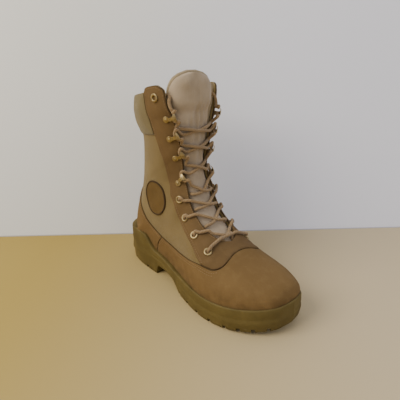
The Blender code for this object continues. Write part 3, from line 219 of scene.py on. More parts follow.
# Crown level, share of half THROAT_WIDTH
THROAT = [(0.690, 0.00), (0.705, 0.38), (0.730, 0.62), (0.767, 0.80), (0.830, 0.95), (0.900, 1.00),
          (1.010, 1.00), (1.100, 0.95), (1.226, 0.89), (1.328, 0.87), (1.438, 0.92), (1.540, 1.02),
          (1.642, 1.18), (1.752, 1.38), (1.854, 1.63), (1.956, 1.92), (2.290, 2.12)]

# Crown level, share of FACING_WIDTH
FACING_BAND = [(0.300, 1.20), (0.560, 1.90), (0.660, 1.85), (0.705, 1.56), (0.747, 1.25),
               (0.800, 1.08), (0.873, 0.90), (1.040, 0.93), (1.177, 0.96), (1.307, 1.03),
               (1.500, 0.98), (1.667, 1.08), (1.824, 1.17), (2.290, 1.08)]

# Crown level, share of TONGUE_LAP past the throat edge
TONGUE_BAND = [(0.600, 1.70), (0.690, 1.60), (0.750, 1.00), (1.000, 0.90), (1.300, 0.90),
               (1.500, 0.60), (1.667, 0.20), (1.900, 0.10), (2.000, 0.05), (2.060, -0.25),
               (2.110, -0.90), (2.140, -1.75), (2.160, -2.85)]
TONGUE_FOOT = 0.610
TONGUE_TOP = 2.160
TONGUE_CELLS = (110, 40)
TONGUE_CROWDING = 1.8

# The tongue's edge, as shares of TONGUE_THICKNESS: how far the outer face falls there, how far
# the inner face rises, how far both go back at the collar, and how fast they do so
TONGUE_EDGE_FALL = 0.35
TONGUE_EDGE_RISE = 0.20
TONGUE_TUCK = 0.40
TONGUE_EDGE_POWER = 5
TUCK_SPAN = (1.75, 1.90)

# Its ends: least share of the thickness, stations over which it grows to the whole, and the
# metres by which its foot lies lower, with the stations over which it comes up
TONGUE_FOOT_THIN = 0.45
TONGUE_FOOT_RUN = 3.0
TONGUE_HEAD_THIN = 0.42
TONGUE_HEAD_RUN = 1.1
TONGUE_DROP = 0.0012
TONGUE_DROP_RUN = 4.0

# Its head: dome between two levels, and the dip that the top lace makes below it
TONGUE_DOME = 0.0030
DOME_START = (1.84, 1.94)
DOME_END = (2.19, 2.07)
TONGUE_DIP = 0.0016
DIP_LEVEL = 1.83
DIP_REACH = 0.035
BINDING_START = 1.72
BINDING_RADIUS = 0.0027

# How much less the tongue's head reaches on the inner side: crown level, metres
TONGUE_LEAN = [(1.750, 0.000), (1.920, 0.007), (2.060, 0.009), (2.160, 0.011)]

# Seams seen from the side: station along LENGTH, share of INSTEP_HEIGHT
FOXING = [(-0.040, 1.150), (0.085, 1.105), (0.135, 1.020), (0.176, 0.890), (0.217, 0.765),
          (0.272, 0.645), (0.345, 0.552), (0.410, 0.505), (0.490, 0.490), (0.575, 0.520),
          (0.650, 0.542), (0.695, 0.536), (0.728, 0.528), (0.750, 0.545), (0.755, 0.580),
          (0.744, 0.625), (0.725, 0.670), (0.710, 0.700), (0.702, 0.800), (0.702, 1.000)]
HEEL_SEAM = [(0.352, 0.700), (0.352, 0.540), (0.328, 0.460), (0.314, 0.375), (0.308, 0.285),
             (0.308, -0.050)]

# Rows of the lace: crown level, distance back from the throat edge in shares of FACING_WIDTH
EYELET_ROWS = [(0.730, 0.74), (0.883, 0.52), (1.058, 0.52), (1.190, 0.52)]
HOOK_ROWS = [(1.322, 0.42), (1.529, 0.34), (1.687, 0.38), (1.834, 0.26)]
TAB_ROW = (2.005, 0.44)

# A strand round the hardware: towards the throat, across, outwards from its face, in metres
BORE_PATH = [(0.0000, 0.0000, -0.0090), (0.0000, 0.0000, -0.0040), (0.0003, 0.0000, -0.0002),
             (0.0016, -0.0003, 0.0027), (0.0050, -0.0012, 0.0036)]
BEHIND_PATH = [(0.0000, 0.0, -0.0090), (0.0035, 0.0, -0.0098)]
HOOK_PATH = [(-0.0047, 0.0000, 0.0026), (-0.0044, 0.0024, 0.0026), (-0.0028, 0.0050, 0.0026),
             (0.0010, 0.0068, 0.0020)]

# Tab above the collar: share of FACING_WIDTH back from the throat edge, share of TAB_RISE
TAB = [(1.16, 0.00), (1.10, 0.30), (1.00, 0.80), (0.84, 1.00), (0.42, 1.00), (0.20, 0.72),
       (0.00, 0.20), (-0.60, 0.20)]

# Tread grooves: station at the edge, station at the middle of the V
TREAD_GROOVES = [(0.100, 0.120), (0.235, 0.205), (0.527, 0.560), (0.600, 0.633), (0.672, 0.705),
                 (0.744, 0.777), (0.812, 0.842)]
EDGE_NOTCHES = (0.875, 0.925, 0.968, 0.030)
GROOVE_OVERRUN = 0.006
PLAN_STEP = 0.001

# Creases placed one by one: middle as a crown level and a share of the half section, reach of
# each, depth in metres; a positive depth is a dent
CREASES = [
    # side, level, share, level_reach, share_reach, depth
    (LATERAL, 1.800, 1.00, 0.050, 0.30, 0.0020),
    (MEDIAL, 1.800, 1.00, 0.050, 0.30, 0.0020),
    (LATERAL, 1.600, 1.00, 0.030, 0.16, 0.0012),
    (MEDIAL, 1.600, 1.00, 0.030, 0.16, 0.0012),
    (LATERAL, 1.270, 0.42, 0.060, 0.10, 0.0012),
    (LATERAL, 1.160, 0.36, 0.040, 0.10, -0.0009),
    (MEDIAL, 1.250, 0.42, 0.060, 0.10, 0.0010),
    (LATERAL, 1.420, 0.50, 0.060, 0.12, 0.0008),
    (LATERAL, 0.665, 0.30, 0.014, 0.25, 0.0005),
    (MEDIAL, 0.665, 0.30, 0.014, 0.25, 0.0005),
    (LATERAL, 0.630, 0.26, 0.016, 0.22, -0.0004),
    (MEDIAL, 0.630, 0.26, 0.016, 0.22, -0.0004),
]


# Small helpers

def smooth(value):
    value = np.clip(value, 0.0, 1.0)
    return value * value * (3.0 - 2.0 * value)


def ramp(value, start, end):
    """0 at start and 1 at end, smooth between them."""
    return smooth((value - start) / (end - start))


def unit(vectors):
    return vectors / np.linalg.norm(vectors, axis=-1, keepdims=True)


def run_along(points):
    """Distance along a line of points."""
    return np.concatenate([[0.0], np.cumsum(np.linalg.norm(np.diff(points, axis=0), axis=1))])


def read_line(places, run, line):
    """Points of a line at distances along it."""
    return np.stack([np.interp(places, run, column) for column in np.transpose(line)], axis=-1)


def table(rows, value):
    return np.interp(value, [row[0] for row in rows], [row[1] for row in rows])


def station_x(share):
    return (share - 0.5) * LENGTH


def catmull(rows, steps):
    rows = np.asarray(rows, float)
    ends = np.vstack([2 * rows[0] - rows[1], rows, 2 * rows[-1] - rows[-2]])
    result = []
    for index in range(1, len(ends) - 2):
        before, start, end, after = ends[index - 1:index + 3]
        count = steps[index - 1]
        for piece in range(count):
            t = piece / count
            result.append(0.5 * (2 * start + (end - before) * t
                                 + (2 * before - 5 * start + 4 * end - after) * t * t
                                 + (3 * start - before - 3 * end + after) * t ** 3))
    result.append(ends[-2])
    return np.array(result)


# The last's surface, as in the part, read on a fine grid

def toe_spring(share):
    start, end = SPRING_SPAN
    return TOE_SPRING * np.maximum((share - start) / (end - start), 0.0) ** 2


def seat_height(share):
    return (FOREFOOT_SEAT + (HEEL_SEAT - FOREFOOT_SEAT) * ramp(share, *HEEL_SPAN)
            + toe_spring(share))


def ground_height(share):
    return ARCH_HEIGHT * table(ARCH, share) + toe_spring(share)


def rim_height(share):
    return seat_height(share) + RIM_RISE + HEEL_CUP_RISE * ramp(share, *CUP_SPAN)


def step_level(share):
    base = toe_spring(share)
    line = base + table(SIDE_LINE, share) * (seat_height(share) - base)
    return np.maximum(line, ground_height(share) + TREAD_EDGE)


def outline_side(side):
    column = 1 + SIDES.index(side)
    rows = [(station_x(row[0]), side * row[column] * BALL_WIDTH) for row in OUTLINE]
    return catmull(rows, [8] * (len(rows) - 1))


def plan_ring(inset):
    outer = outline_side(LATERAL)
    inner = outline_side(MEDIAL)
    ring = np.vstack([outer, inner[::-1][1:-1]])
    tangent = unit(np.roll(ring, -1, axis=0) - np.roll(ring, 1, axis=0))
    moved = ring + np.stack([-tangent[:, 1], tangent[:, 0]], axis=1) * inset
    toe = len(outer) - 1
    return moved[:toe + 1], np.vstack([moved[toe:], moved[:1]])[::-1]


FEATHER = {side: line[np.argsort(line[:, 0])]
           for side, line in zip(SIDES, plan_ring(FEATHER_INSET))}


def feather_y(side, x):
    line = FEATHER[side]
    return float(np.interp(x, line[:, 0], line[:, 1]))


def level_height(level):
    if level <= 1.0:
        return level * INSTEP_HEIGHT
    return INSTEP_HEIGHT + (level - 1.0) * (FRONT_HEIGHT - INSTEP_HEIGHT)


def foot_section(row, closed):
    seat, crown, level, outer, inner, widest, crown_power, side_power, swing, _ = row
    x = station_x(seat)
    middle = swing * BALL_WIDTH
    feet = [abs(feather_y(side, x) - middle) for side in SIDES]
    widths = [foot + swell * BALL_WIDTH for foot, swell in zip(feet, (outer, inner))]
    if closed:
        feet = widths = [0.0, 0.0]
        middle = 0.5 * (feather_y(LATERAL, x) + feather_y(MEDIAL, x))
    return [x, seat_height(seat) + GAP, station_x(crown), level_height(level), middle,
            widths[0], widths[1], feet[0], feet[1], widest, crown_power, side_power, level]


def shaft_section(row):
    back, rise, crown, level, width, widest, crown_power, side_power = row
    seat = HEEL_SEAT + GAP
    half = 0.5 * (ANKLE_WIDTH + width * (COLLAR_WIDTH - ANKLE_WIDTH))
    return [station_x(back), seat + rise * (BACK_HEIGHT - seat), station_x(crown),
            level_height(level), 0.0, half, half, 0.0, 0.0, widest, crown_power, side_power, level]


FOOT_ROWS = catmull(FOOT_SECTIONS, [row[-1] for row in FOOT_SECTIONS[:-1]])
FOOT_COUNT = len(FOOT_ROWS)
SECTIONS = np.array([foot_section(row, index == 0) for index, row in enumerate(FOOT_ROWS)]
                    + [shaft_section(row) for row in SHAFT_SECTIONS])
LAST_STATION = len(SECTIONS) - 1
FINE = 8
ACROSS = 140
WIDTHS = slice(5, 7)
FEET = slice(7, 9)
LEVEL = 12
FINE_ROWS = catmull(SECTIONS, [FINE] * LAST_STATION)
FINE_ROWS[:, WIDTHS] = FINE_ROWS[:, WIDTHS].clip(0)
FINE_ROWS[:, FEET] = np.minimum(FINE_ROWS[:, FEET].clip(0), FINE_ROWS[:, WIDTHS])
STATIONS = np.linspace(0, LAST_STATION, len(FINE_ROWS))
LEVELS = FINE_ROWS[:, LEVEL]


def half_section(row, side):
    base_x, base_z, crown_x, crown_z, middle = row[:5]
    width = row[WIDTHS][SIDES.index(side)]
    foot = row[FEET][SIDES.index(side)]
    widest, crown_power, side_power = row[FEET.stop:LEVEL]
    turn = np.linspace(0.0, math.pi / 2, 60)
    top_out = width * np.sin(turn) ** (2 / crown_power)
    top_up = widest + (1 - widest) * np.cos(turn).clip(0) ** (2 / crown_power)
    low_out = foot + (width - foot) * np.cos(turn[1:]).clip(0) ** (2 / side_power)
    low_up = widest * (1 - np.sin(turn[1:]) ** (2 / side_power))
    out = np.concatenate([top_out, low_out])
    up = np.concatenate([top_up, low_up])
    points = np.stack([base_x + up * (crown_x - base_x), middle + side * out,
                       base_z + up * (crown_z - base_z)], axis=1)
    return points, run_along(points), np.abs(top_out)


THROAT_CURVE = catmull(THROAT, [4] * (len(THROAT) - 1))
FACING_CURVE = catmull(FACING_BAND, [4] * (len(FACING_BAND) - 1))
TONGUE_CURVE = catmull(TONGUE_BAND, [3] * (len(TONGUE_BAND) - 1))


class Half:
    """One side of the last: places and normals on a fine grid of stations and shares."""

    def __init__(self, side):
        self.side = side
        shares = np.linspace(0.0, 1.0, ACROSS + 1)
        rows = []
        lengths = []
        throat = []
        for index, row in enumerate(FINE_ROWS):
            points, run, out = half_section(row, side)
            rows.append(read_line(shares * run[-1], run, points))
            lengths.append(run[-1])
            half = max(float(table(THROAT_CURVE, LEVELS[index])), 0.0) * THROAT_WIDTH / 2
            if LEVELS[index] < THROAT[0][0]:
                half = 0.0
            throat.append(np.interp(half, out, run[:len(out)]))
        self.place = self.eased(np.array(rows))
        self.length = np.array(lengths)
        self.throat = np.array(throat)
        facing = self.throat + table(FACING_CURVE, LEVELS) * FACING_WIDTH
        self.facing = np.minimum(facing, self.throat + FACING_LIMIT * (self.length - self.throat))
        along = np.gradient(self.place, axis=0)
        across = np.gradient(self.place, axis=1)
        normal = np.cross(across, along) * side
        size = np.linalg.norm(normal, axis=2, keepdims=True)
        normal = np.where(size > 1e-12, normal / np.maximum(size, 1e-12), (1.0, 0.0, 0.0))
        normal[0] = (1.0, 0.0, 0.0)
        normal[:, :, 1] *= smooth(shares / SEAM_TURN)[None, :]
        on_foot = STATIONS <= FOOT_COUNT - 1
        near_seat = smooth((1.0 - shares) / SEAT_TURN)
        normal[:, :, 2] *= np.where(on_foot[:, None], near_seat[None, :], 1.0)
        near_back = smooth((1.0 - shares) / SEAM_TURN)
        normal[:, :, 1] *= np.where(on_foot[:, None], 1.0, near_back[None, :])
        self.normal = unit(normal)
        self.along = run_along(self.place[:, ACROSS // 2])

    def eased(self, place):
        """Softens the line where the foot's sections meet the shaft's."""
        far = int(EASE_REACH) * FINE
        reach = np.arange(-far, far + 1)
        weights = np.exp(-(reach / (EASE_WIDTH * FINE)) ** 2)
        weights /= weights.sum()
        rows = np.clip(np.arange(len(place))[:, None] + reach[None, :], 0, len(place) - 1)
        soft = np.einsum("k,ikjc->ijc", weights, place[rows])
        down = np.linspace(0.0, 1.0, place.shape[1])
        across = smooth(EASE_CROWN * down) * smooth(EASE_SEAT * (EASE_FOOT - down))
        near = smooth(EASE_REACH - np.abs(STATIONS - FOOT_COUNT + 0.5))
        share = (near[:, None] * across[None, :])[:, :, None]
        return place * (1.0 - share) + soft * share

    def read(self, values, station, share):
        """Value between the points of the fine grid."""
        i = np.clip(np.asarray(station, float) * FINE, 0, len(STATIONS) - 1.0001)
        j = np.clip(np.asarray(share, float) * ACROSS, 0, ACROSS - 0.0001)
        i, j = np.broadcast_arrays(i, j)
        low_i, low_j = i.astype(int), j.astype(int)
        a, b = (i - low_i)[..., None], (j - low_j)[..., None]
        near = values[low_i, low_j] * (1 - a) + values[low_i + 1, low_j] * a
        far = values[low_i, low_j + 1] * (1 - a) + values[low_i + 1, low_j + 1] * a
        return near * (1 - b) + far * b

    def at(self, values, station):
        return np.interp(station, STATIONS, values)

    def point(self, station, arc, height):
        """Place on the boot with its creases, at a height over the last."""
        share = np.asarray(arc) / self.at(self.length, station)
        height = np.asarray(height) - crease_depth(self.side, station, share)
        return (self.read(self.place, station, share)
                + height[..., None] * self.read(self.normal, station, share))

    def outward(self, station, arc):
        share = np.asarray(arc) / self.at(self.length, station)
        return unit(self.read(self.normal, station, share))


def level_at(station):
    return np.interp(station, STATIONS, LEVELS)


def station_at(level):
    return float(np.interp(level, LEVELS, STATIONS))


def crease_depth(side, station, share):
    """How far the creases press the skins in; the same for every skin."""
    level = level_at(station)
    depth = np.zeros(np.broadcast(level, share).shape)
    for crease_side, middle, place, level_reach, share_reach, amount in CREASES:
        if crease_side == side:
            depth = depth + amount * np.exp(-((level - middle) / level_reach) ** 2
                                            - ((share - place) / share_reach) ** 2)
    return depth


HALVES = {side: Half(side) for side in SIDES}


# Lines seen from the side

def side_curve(rows, steps):
    return catmull([(station_x(row[0]), row[1] * INSTEP_HEIGHT) for row in rows],
                   [steps] * (len(rows) - 1))


def rim_height_at(x):
    return BACK_HEIGHT + RIM_SLOPE * (x - station_x(SHAFT_SECTIONS[-2][0]))


def rim_line():
    back_x = station_x(0.0) - RIM_OVERRUN
    station = station_at(RIM_LEVEL)
    half = HALVES[LATERAL]
    edge = half.at(half.throat, station)
    line = []
    for back, rise in TAB:
        x = float(half.point(station, max(edge + back * FACING_WIDTH, 0.0), 0.0)[0])
        if back < 0.0:
            x = float(half.point(station, 0.0, 0.0)[0]) + RIM_OVERRUN
        line.append((x, rim_height_at(x) + rise * TAB_RISE))
    rounded = catmull(line, [4] * (len(line) - 1))
    start = (back_x, rim_height_at(back_x))
    return np.vstack([[start], rounded])


def signed_distance(points, line):
    """Distance from a side-view line, positive on its left."""
    best = np.full(len(points), 1e9)
    sign = np.ones(len(points))
    for a, d in zip(line[:-1], line[1:] - line[:-1]):
        t = np.clip(((points - a) @ d) / (d @ d), 0.0, 1.0)
        gap = points - (a + t[:, None] * d)
        size = np.hypot(gap[:, 0], gap[:, 1])
        turn = d[0] * (points[:, 1] - a[1]) - d[1] * (points[:, 0] - a[0])
        closer = size < best - 1e-9
        best = np.where(closer, size, best)
        sign = np.where(closer, np.where(turn >= 0, 1.0, -1.0), sign)
    return best * sign


def line_gap(points, line):
    """Distance from a line in space."""
    best = np.full(len(points), 1e9)
    for a, d in zip(line[:-1], line[1:] - line[:-1]):
        t = np.clip(((points - a) @ d) / max(d @ d, 1e-12), 0.0, 1.0)
        best = np.minimum(best, np.linalg.norm(points - (a + t[:, None] * d), axis=1))
    return best


def surface_line(side, stations, arcs):
    half = HALVES[side]
    return half.read(half.place, stations, arcs / half.at(half.length, stations))


# Stations at which the edges of throat and facing are read, closer together at the throat's tip
TIP = station_at(THROAT[0][0])
THROAT_STATIONS = np.concatenate([TIP + np.linspace(0.0, 1.0, 24) ** 2 * 1.5,
                                  np.linspace(TIP + 1.6, LAST_STATION, 90)])
FACING_STATIONS = np.linspace(station_at(0.60), LAST_STATION, 120)
THROAT_LINES = {side: surface_line(side, THROAT_STATIONS, half.at(half.throat, THROAT_STATIONS))
                for side, half in HALVES.items()}
FACING_LINES = {side: surface_line(side, FACING_STATIONS, half.at(half.facing, FACING_STATIONS))
                for side, half in HALVES.items()}
FOXING_LINE = side_curve(FOXING, 6)
HEEL_LINE = side_curve(HEEL_SEAM, 6)
RIM_LINE = rim_line()
PATCH_CENTRE = np.array([station_x(PATCH_STATION), PATCH_LEVEL * INSTEP_HEIGHT])


def collar_arc(half, station, share):
    """Distance from the crown to a share of the way from the facing to the back seam."""
    start = half.at(half.facing, station) + 2 * GAP
    return start + (half.at(half.length, station) - start) * share


def collar_stations(side, back_height, slope):
    """Stations at which the collar's columns meet a line that is seen from the side."""
    half = HALVES[side]
    rear = station_x(SHAFT_SECTIONS[-2][0])
    tries = np.linspace(FOOT_COUNT + COLLAR_SEARCH, LAST_STATION, 160)
    result = []
    for share in COLLAR_SHARES:
        spots = surface_line(side, tries, collar_arc(half, tries, share))
        result.append(np.interp(0.0, spots[:, 2] - back_height - slope * (spots[:, 0] - rear),
                                tries))
    return np.array(result)


COLLAR_SHARES = np.linspace(0.0, 1.0, 41)
COLLAR_FOOT = {side: collar_stations(side, COLLAR_FOOT_BACK, COLLAR_FOOT_SLOPE) for side in SIDES}
COLLAR_TOP = {side: collar_stations(side, BACK_HEIGHT, RIM_SLOPE) for side in SIDES}


def seen(spots):
    return spots[:, [0, 2]]


def throat_gap(half, station, share, spots):
    arc = share * half.at(half.length, station)
    sign = np.where(arc >= half.at(half.throat, station) - 1e-9, 1.0, -1.0)
    return sign * line_gap(spots, THROAT_LINES[half.side])


def facing_gap(half, station, share, spots):
    arc = share * half.at(half.length, station)
    sign = np.where(arc <= half.at(half.facing, station) + 1e-9, 1.0, -1.0)
    return sign * line_gap(spots, FACING_LINES[half.side])


# The cut edges of each pattern, as the distance inside them

def quarter_edge(half, station, share, spots):
    return np.minimum(throat_gap(half, station, share, spots),
                      -signed_distance(seen(spots), RIM_LINE))


def foxing_edge(spots, sense):
    """Below the foxing line, and ahead of the heel seam or behind it."""
    return np.minimum(-signed_distance(seen(spots), FOXING_LINE),
                      sense * signed_distance(seen(spots), HEEL_LINE)) - GAP / 2


def vamp_edge(half, station, share, spots):
    return foxing_edge(spots, 1)


def counter_edge(half, station, share, spots):
    return foxing_edge(spots, -1)


def facing_edge(half, station, share, spots):
    across = np.minimum(throat_gap(half, station, share, spots),
                        facing_gap(half, station, share, spots))
    along = np.minimum(signed_distance(seen(spots), FOXING_LINE) - GAP / 2,
                       -signed_distance(seen(spots), RIM_LINE))
    return np.minimum(across, along)


def collar_edge(half, station, share, spots):
    lines = []
    for places in (COLLAR_FOOT[half.side], COLLAR_TOP[half.side]):
        arcs = collar_arc(half, places, COLLAR_SHARES)
        lines.append(line_gap(spots, surface_line(half.side, places, arcs)))
    front = line_gap(spots, FACING_LINES[half.side])
    return np.minimum(np.minimum(*lines), front)


def patch_edge(half, station, share, spots):
    flat = (seen(spots) - PATCH_CENTRE) / (PATCH_WIDTH / 2, PATCH_HEIGHT / 2)
    size = np.linalg.norm(flat, axis=1)
    return (1.0 - size) * (PATCH_WIDTH + PATCH_HEIGHT) / 4


def lining_edge(half, station, share, spots):
    return quarter_edge(half, station, share, spots) - LINING_INSET


# Mesh pieces

def finish_mesh(name, work, finish, angle=40.0, shift=MIDLINE):
    mesh = bpy.data.meshes.new(name)
    work.to_mesh(mesh)
    work.free()
    mesh.transform(Matrix.Translation((0.0, shift, 0.0)))
    mesh.shade_smooth()
    mesh.set_sharp_from_angle(angle=math.radians(angle))
    mesh.materials.append(finish)
    thing = bpy.data.objects.new(name, mesh)
    bpy.context.scene.collection.objects.link(thing)
    return thing


def dress(thing, slot, *nodes):
    """Ties a piece to the boot's body and hides the nodes that it stands for."""
    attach(thing, "root")
    if nodes:
        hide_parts(*nodes)
    return thing


def grid(work, rows, columns):
    """Flat grid: its vertices, and their rows and columns as shares."""
    made = bmesh.ops.create_grid(work, x_segments=rows, y_segments=columns, size=0.5)
    spots = np.array([vert.co for vert in made["verts"]]) + 0.5
    return made["verts"], spots[:, 0], spots[:, 1]


def grow(work, faces):
    """Lays a second skin over the faces and gives its vertices."""
    made = bmesh.ops.extrude_face_region(work, geom=list(faces), use_keep_orig=True)
    return [item for item in made["geom"] if isinstance(item, bmesh.types.BMVert)]


def trim(work, field):
    """Cuts the flat pattern along its edge and drops what lies outside."""
    values = work.verts.layers.float.new("field")
    verts = list(work.verts)
    found = field(np.array([vert.co for vert in verts]))
    for vert, value in zip(verts, found):
        vert[values] = 0.0 if abs(value) < 2e-5 else float(value)
    for edge in list(work.edges):
        start, end = edge.verts
        a, b = start[values], end[values]
        if a * b < 0.0:
            _, fresh = bmesh.utils.edge_split(edge, start, a / (a - b))
            fresh[values] = 0.0
    for face in list(work.faces):
        signs = [vert[values] for vert in face.verts]
        if min(signs) < 0.0 < max(signs):
            ends = [vert for vert in face.verts if vert[values] == 0.0]
            if len(ends) >= 2:
                try:
                    bmesh.utils.face_split(face, ends[0], ends[1])
                except ValueError:
                    continue
    gone = [face for face in work.faces
            if sum(vert[values] for vert in face.verts) / len(face.verts) < 1e-9]
    bmesh.ops.delete(work, geom=gone, context="FACES")


def pattern(work, side, first, last, rows, columns, span):
    """Flat grid of a pattern: x is the station, y the share across, z the side."""
    verts, along, across = grid(work, rows, columns)
    stations, shares = span(HALVES[side], first + (last - first) * along, across)
    for vert, station, share in zip(verts, stations, shares):
        vert.co = (station, share, side)


def whole_span(half, stations, across):
    return stations, across


def facing_span(half, stations, across):
    length = half.at(half.length, stations)
    start = half.at(half.throat, stations)
    return stations, (start + (half.at(half.facing, stations) - start) * across) / length


def collar_span(half, along, across):
    foot = np.interp(across, COLLAR_SHARES, COLLAR_FOOT[half.side])
    top = np.interp(across, COLLAR_SHARES, COLLAR_TOP[half.side])
    stations = foot + (top - foot) * along
    return stations, collar_arc(half, stations, across) / half.at(half.length, stations)


def patch_span(half, stations, across):
    return stations, PATCH_SPAN[0] + (PATCH_SPAN[1] - PATCH_SPAN[0]) * across


def skin(name, finish, sides, stretch, cells, span, field, low, high):
    """Leather or cloth on the last: a trimmed pattern with two faces and a rounded edge."""
    work = bmesh.new()
    for side in sides:
        pattern(work, side, stretch[0], stretch[1], cells[0], cells[1], span)

    def inside(points):
        result = np.empty(len(points))
        for side in sides:
            mine = points[:, 2] * side > 0
            half = HALVES[side]
            spots = half.read(half.place, points[mine, 0], points[mine, 1])
            result[mine] = field(half, points[mine, 0], points[mine, 1], spots)
        return result

    trim(work, inside)
    uv = work.loops.layers.uv.new("cloth")
    edge = work.verts.layers.float.new("edge")
    verts = list(work.verts)
    flat = np.array([vert.co for vert in verts])
    gaps = inside(flat).clip(0)
    base = np.empty((len(verts), 3))
    normals = np.empty((len(verts), 3))
    sheet = np.empty((len(verts), 2))
    tops = np.empty(len(verts))
    bottoms = np.empty(len(verts))
    for side in sides:
        mine = flat[:, 2] * side > 0
        half = HALVES[side]
        station, share = flat[mine, 0], flat[mine, 1]
        base[mine] = half.read(half.place, station, share)
        normals[mine] = half.read(half.normal, station, share)
        sheet[mine] = np.stack([side * share * half.at(half.length, station),
                                half.at(half.along, station)], axis=1)
        dent = crease_depth(side, station, share)
        bottoms[mine] = low - dent
        tops[mine] = high(half, station, share, gaps[mine], base[mine]) - dent
    normals = unit(normals)
    places = {}
    for place, vert in enumerate(verts):
        vert.index = place
        vert[edge] = float(gaps[place])
        places[tuple(vert.co)] = place
    for face in work.faces:
        for loop in face.loops:
            loop[uv].uv = sheet[loop.vert.index]
    for vert in grow(work, work.faces):
        place = places[tuple(vert.co)]
        vert.co = base[place] + normals[place] * tops[place]
    for place, vert in enumerate(verts):
        vert.co = base[place] + normals[place] * bottoms[place]
    bmesh.ops.remove_doubles(work, verts=work.verts[:], dist=3e-6)
    drop_shared_walls(work)
    bmesh.ops.recalc_face_normals(work, faces=work.faces[:])
    return finish_mesh(name, work, finish)


def drop_shared_walls(work):
    """Where the two halves meet, their side walls lie on each other and both go."""
    work.verts.index_update()
    seen_faces = {}
    for face in work.faces:
        key = frozenset(vert.index for vert in face.verts)
        seen_faces.setdefault(key, []).append(face)
    double = [face for faces in seen_faces.values() if len(faces) > 1 for face in faces]
    bmesh.ops.delete(work, geom=double, context="FACES")


def rolled(thickness, gaps, radius=0.0011, least=0.0):
    """Thickness that falls off round a cut edge."""
    near = np.clip(gaps / radius, 0.0, 1.0)
    return thickness * (least + (1.0 - least) * np.sqrt(1.0 - (1.0 - near) ** 2))


def needle_line(gaps, offsets, depth=0.00025, width=0.0006):
    """Dip that a row of stitches pulls into the leather."""
    return -depth * sum(np.exp(-((gaps - offset) / width) ** 2) for offset in offsets)


def leather_top(thickness, rows):
    def top(half, station, share, gaps, spots):
        flush = ramp(spots[:, 0], *FLUSH_X) * ramp(spots[:, 2], *FLUSH_Z)
        edge = rolled(thickness, gaps, least=ROLL_LEAST + FLUSH_FILL * flush)
        return GAP + edge + needle_line(gaps, rows) * (1.0 - flush)
    return top


def tube(name, path, radius, finish, sides=12):
    """Round cord along a path, with its length and girth as UVs."""
    path = np.asarray(path, float)
    tangent = unit(np.gradient(path, axis=0))
    run = run_along(path)
    frames = [unit(np.cross(tangent[0], (0.0, 0.3, 1.0)))]
    for direction in tangent[1:]:
        frames.append(unit(frames[-1] - direction * frames[-1].dot(direction)))
    work = bmesh.new()
    rows = len(path) - 1
    verts, along, around = grid(work, rows, sides)
    uv = work.loops.layers.uv.new("cloth")
    spots = {vert: (round(row * rows), 2 * math.pi * round(turn * sides) / sides)
             for vert, row, turn in zip(verts, along, around)}
    for face in work.faces:
        for loop in face.loops:
            row, angle = spots[loop.vert]
            loop[uv].uv = (run[row], radius * angle)
    for vert, (row, angle) in spots.items():
        side = frames[row]
        up = np.cross(tangent[row], side)
        vert.co = path[row] + radius * (side * math.cos(angle) + up * math.sin(angle))
    bmesh.ops.remove_doubles(work, verts=work.verts[:], dist=1e-6)
    ends = [edge for edge in work.edges if edge.is_boundary]
    bmesh.ops.holes_fill(work, edges=ends, sides=sides + 2)
    bmesh.ops.recalc_face_normals(work, faces=work.faces[:])
    return finish_mesh(name, work, finish, angle=50.0)


def merge(name, things):
    """Joins pieces of one kind into one object."""
    work = bmesh.new()
    for thing in things:
        work.from_mesh(thing.data)
    joined = finish_mesh(name, work, things[0].data.materials[0], angle=50.0, shift=0.0)
    for thing in things:
        bpy.data.objects.remove(thing)
    return joined


def settle(thing):
    """Takes a piece's modifiers into its mesh."""
    bpy.context.view_layer.update()
    ready = thing.evaluated_get(bpy.context.evaluated_depsgraph_get())
    mesh = bpy.data.meshes.new_from_object(ready)
    thing.modifiers.clear()
    thing.data = mesh


def tree_of(*things):
    """Ray tree over several pieces."""
    work = bmesh.new()
    for thing in things:
        work.from_mesh(thing.data)
    tree = BVHTree.FromBMesh(work)
    work.free()
    return tree


# Sole and insole

PLAN = {side: (bare, (inner - bare) / PLAN_STEP)
        for side, bare, inner in zip(SIDES, plan_ring(0.0), plan_ring(PLAN_STEP))}
PLAN_SHARES = [row[0] for row in OUTLINE]


def plan_point(side, share, inset):
    """Point of the sole's outline at a station, moved in along the outline's normal."""
    bare, inward = PLAN[side]
    stations = np.linspace(0, len(OUTLINE) - 1, len(bare))
    place = np.interp(share, PLAN_SHARES, range(len(OUTLINE)))
    return read_line(place, stations, bare) + read_line(place, stations, inward) * inset


RING_SHARES = 0.5 - 0.5 * np.cos(np.pi * np.linspace(0.0, 1.0, 141))


def ring_places():
    """Once round the outline: outer side from heel to toe, inner side back."""
    count = len(RING_SHARES)
    places = [(LATERAL, place) for place in range(count)]
    return places + [(MEDIAL, place) for place in range(count - 2, -1, -1)]


def plan_solid(name, levels, finish, across=24):
    """Closed solid of rings round the foot, with the underside and the top drawn across."""
    places = ring_places()
    rings = [[level(side, RING_SHARES[place]) for side, place in places] for level in levels]
    work = bmesh.new()
    for vert, along, up in zip(*grid(work, len(places) - 1, len(levels) - 1)):
        vert.co = rings[round(up * (len(levels) - 1))][round(along * (len(places) - 1))]
    count = len(RING_SHARES)
    for ring in (rings[0], rings[-1]):
        for vert, along, over_there in zip(*grid(work, count - 1, across)):
            row = round(along * (count - 1))
            step = round(over_there * across)
            start = Vector(ring[row])
            end = Vector(ring[len(places) - 1 - row])
            vert.co = end if step == across else start.lerp(end, step / across)
    bmesh.ops.remove_doubles(work, verts=work.verts[:], dist=4e-6)
    bmesh.ops.dissolve_degenerate(work, edges=work.edges[:], dist=1e-7)
    bmesh.ops.recalc_face_normals(work, faces=work.faces[:])
    return finish_mesh(name, work, finish, angle=32.0)


def heel_lean(share):
    return HEEL_CUP_LEAN * max(1.0 - share / LEAN_SPAN, 0.0)


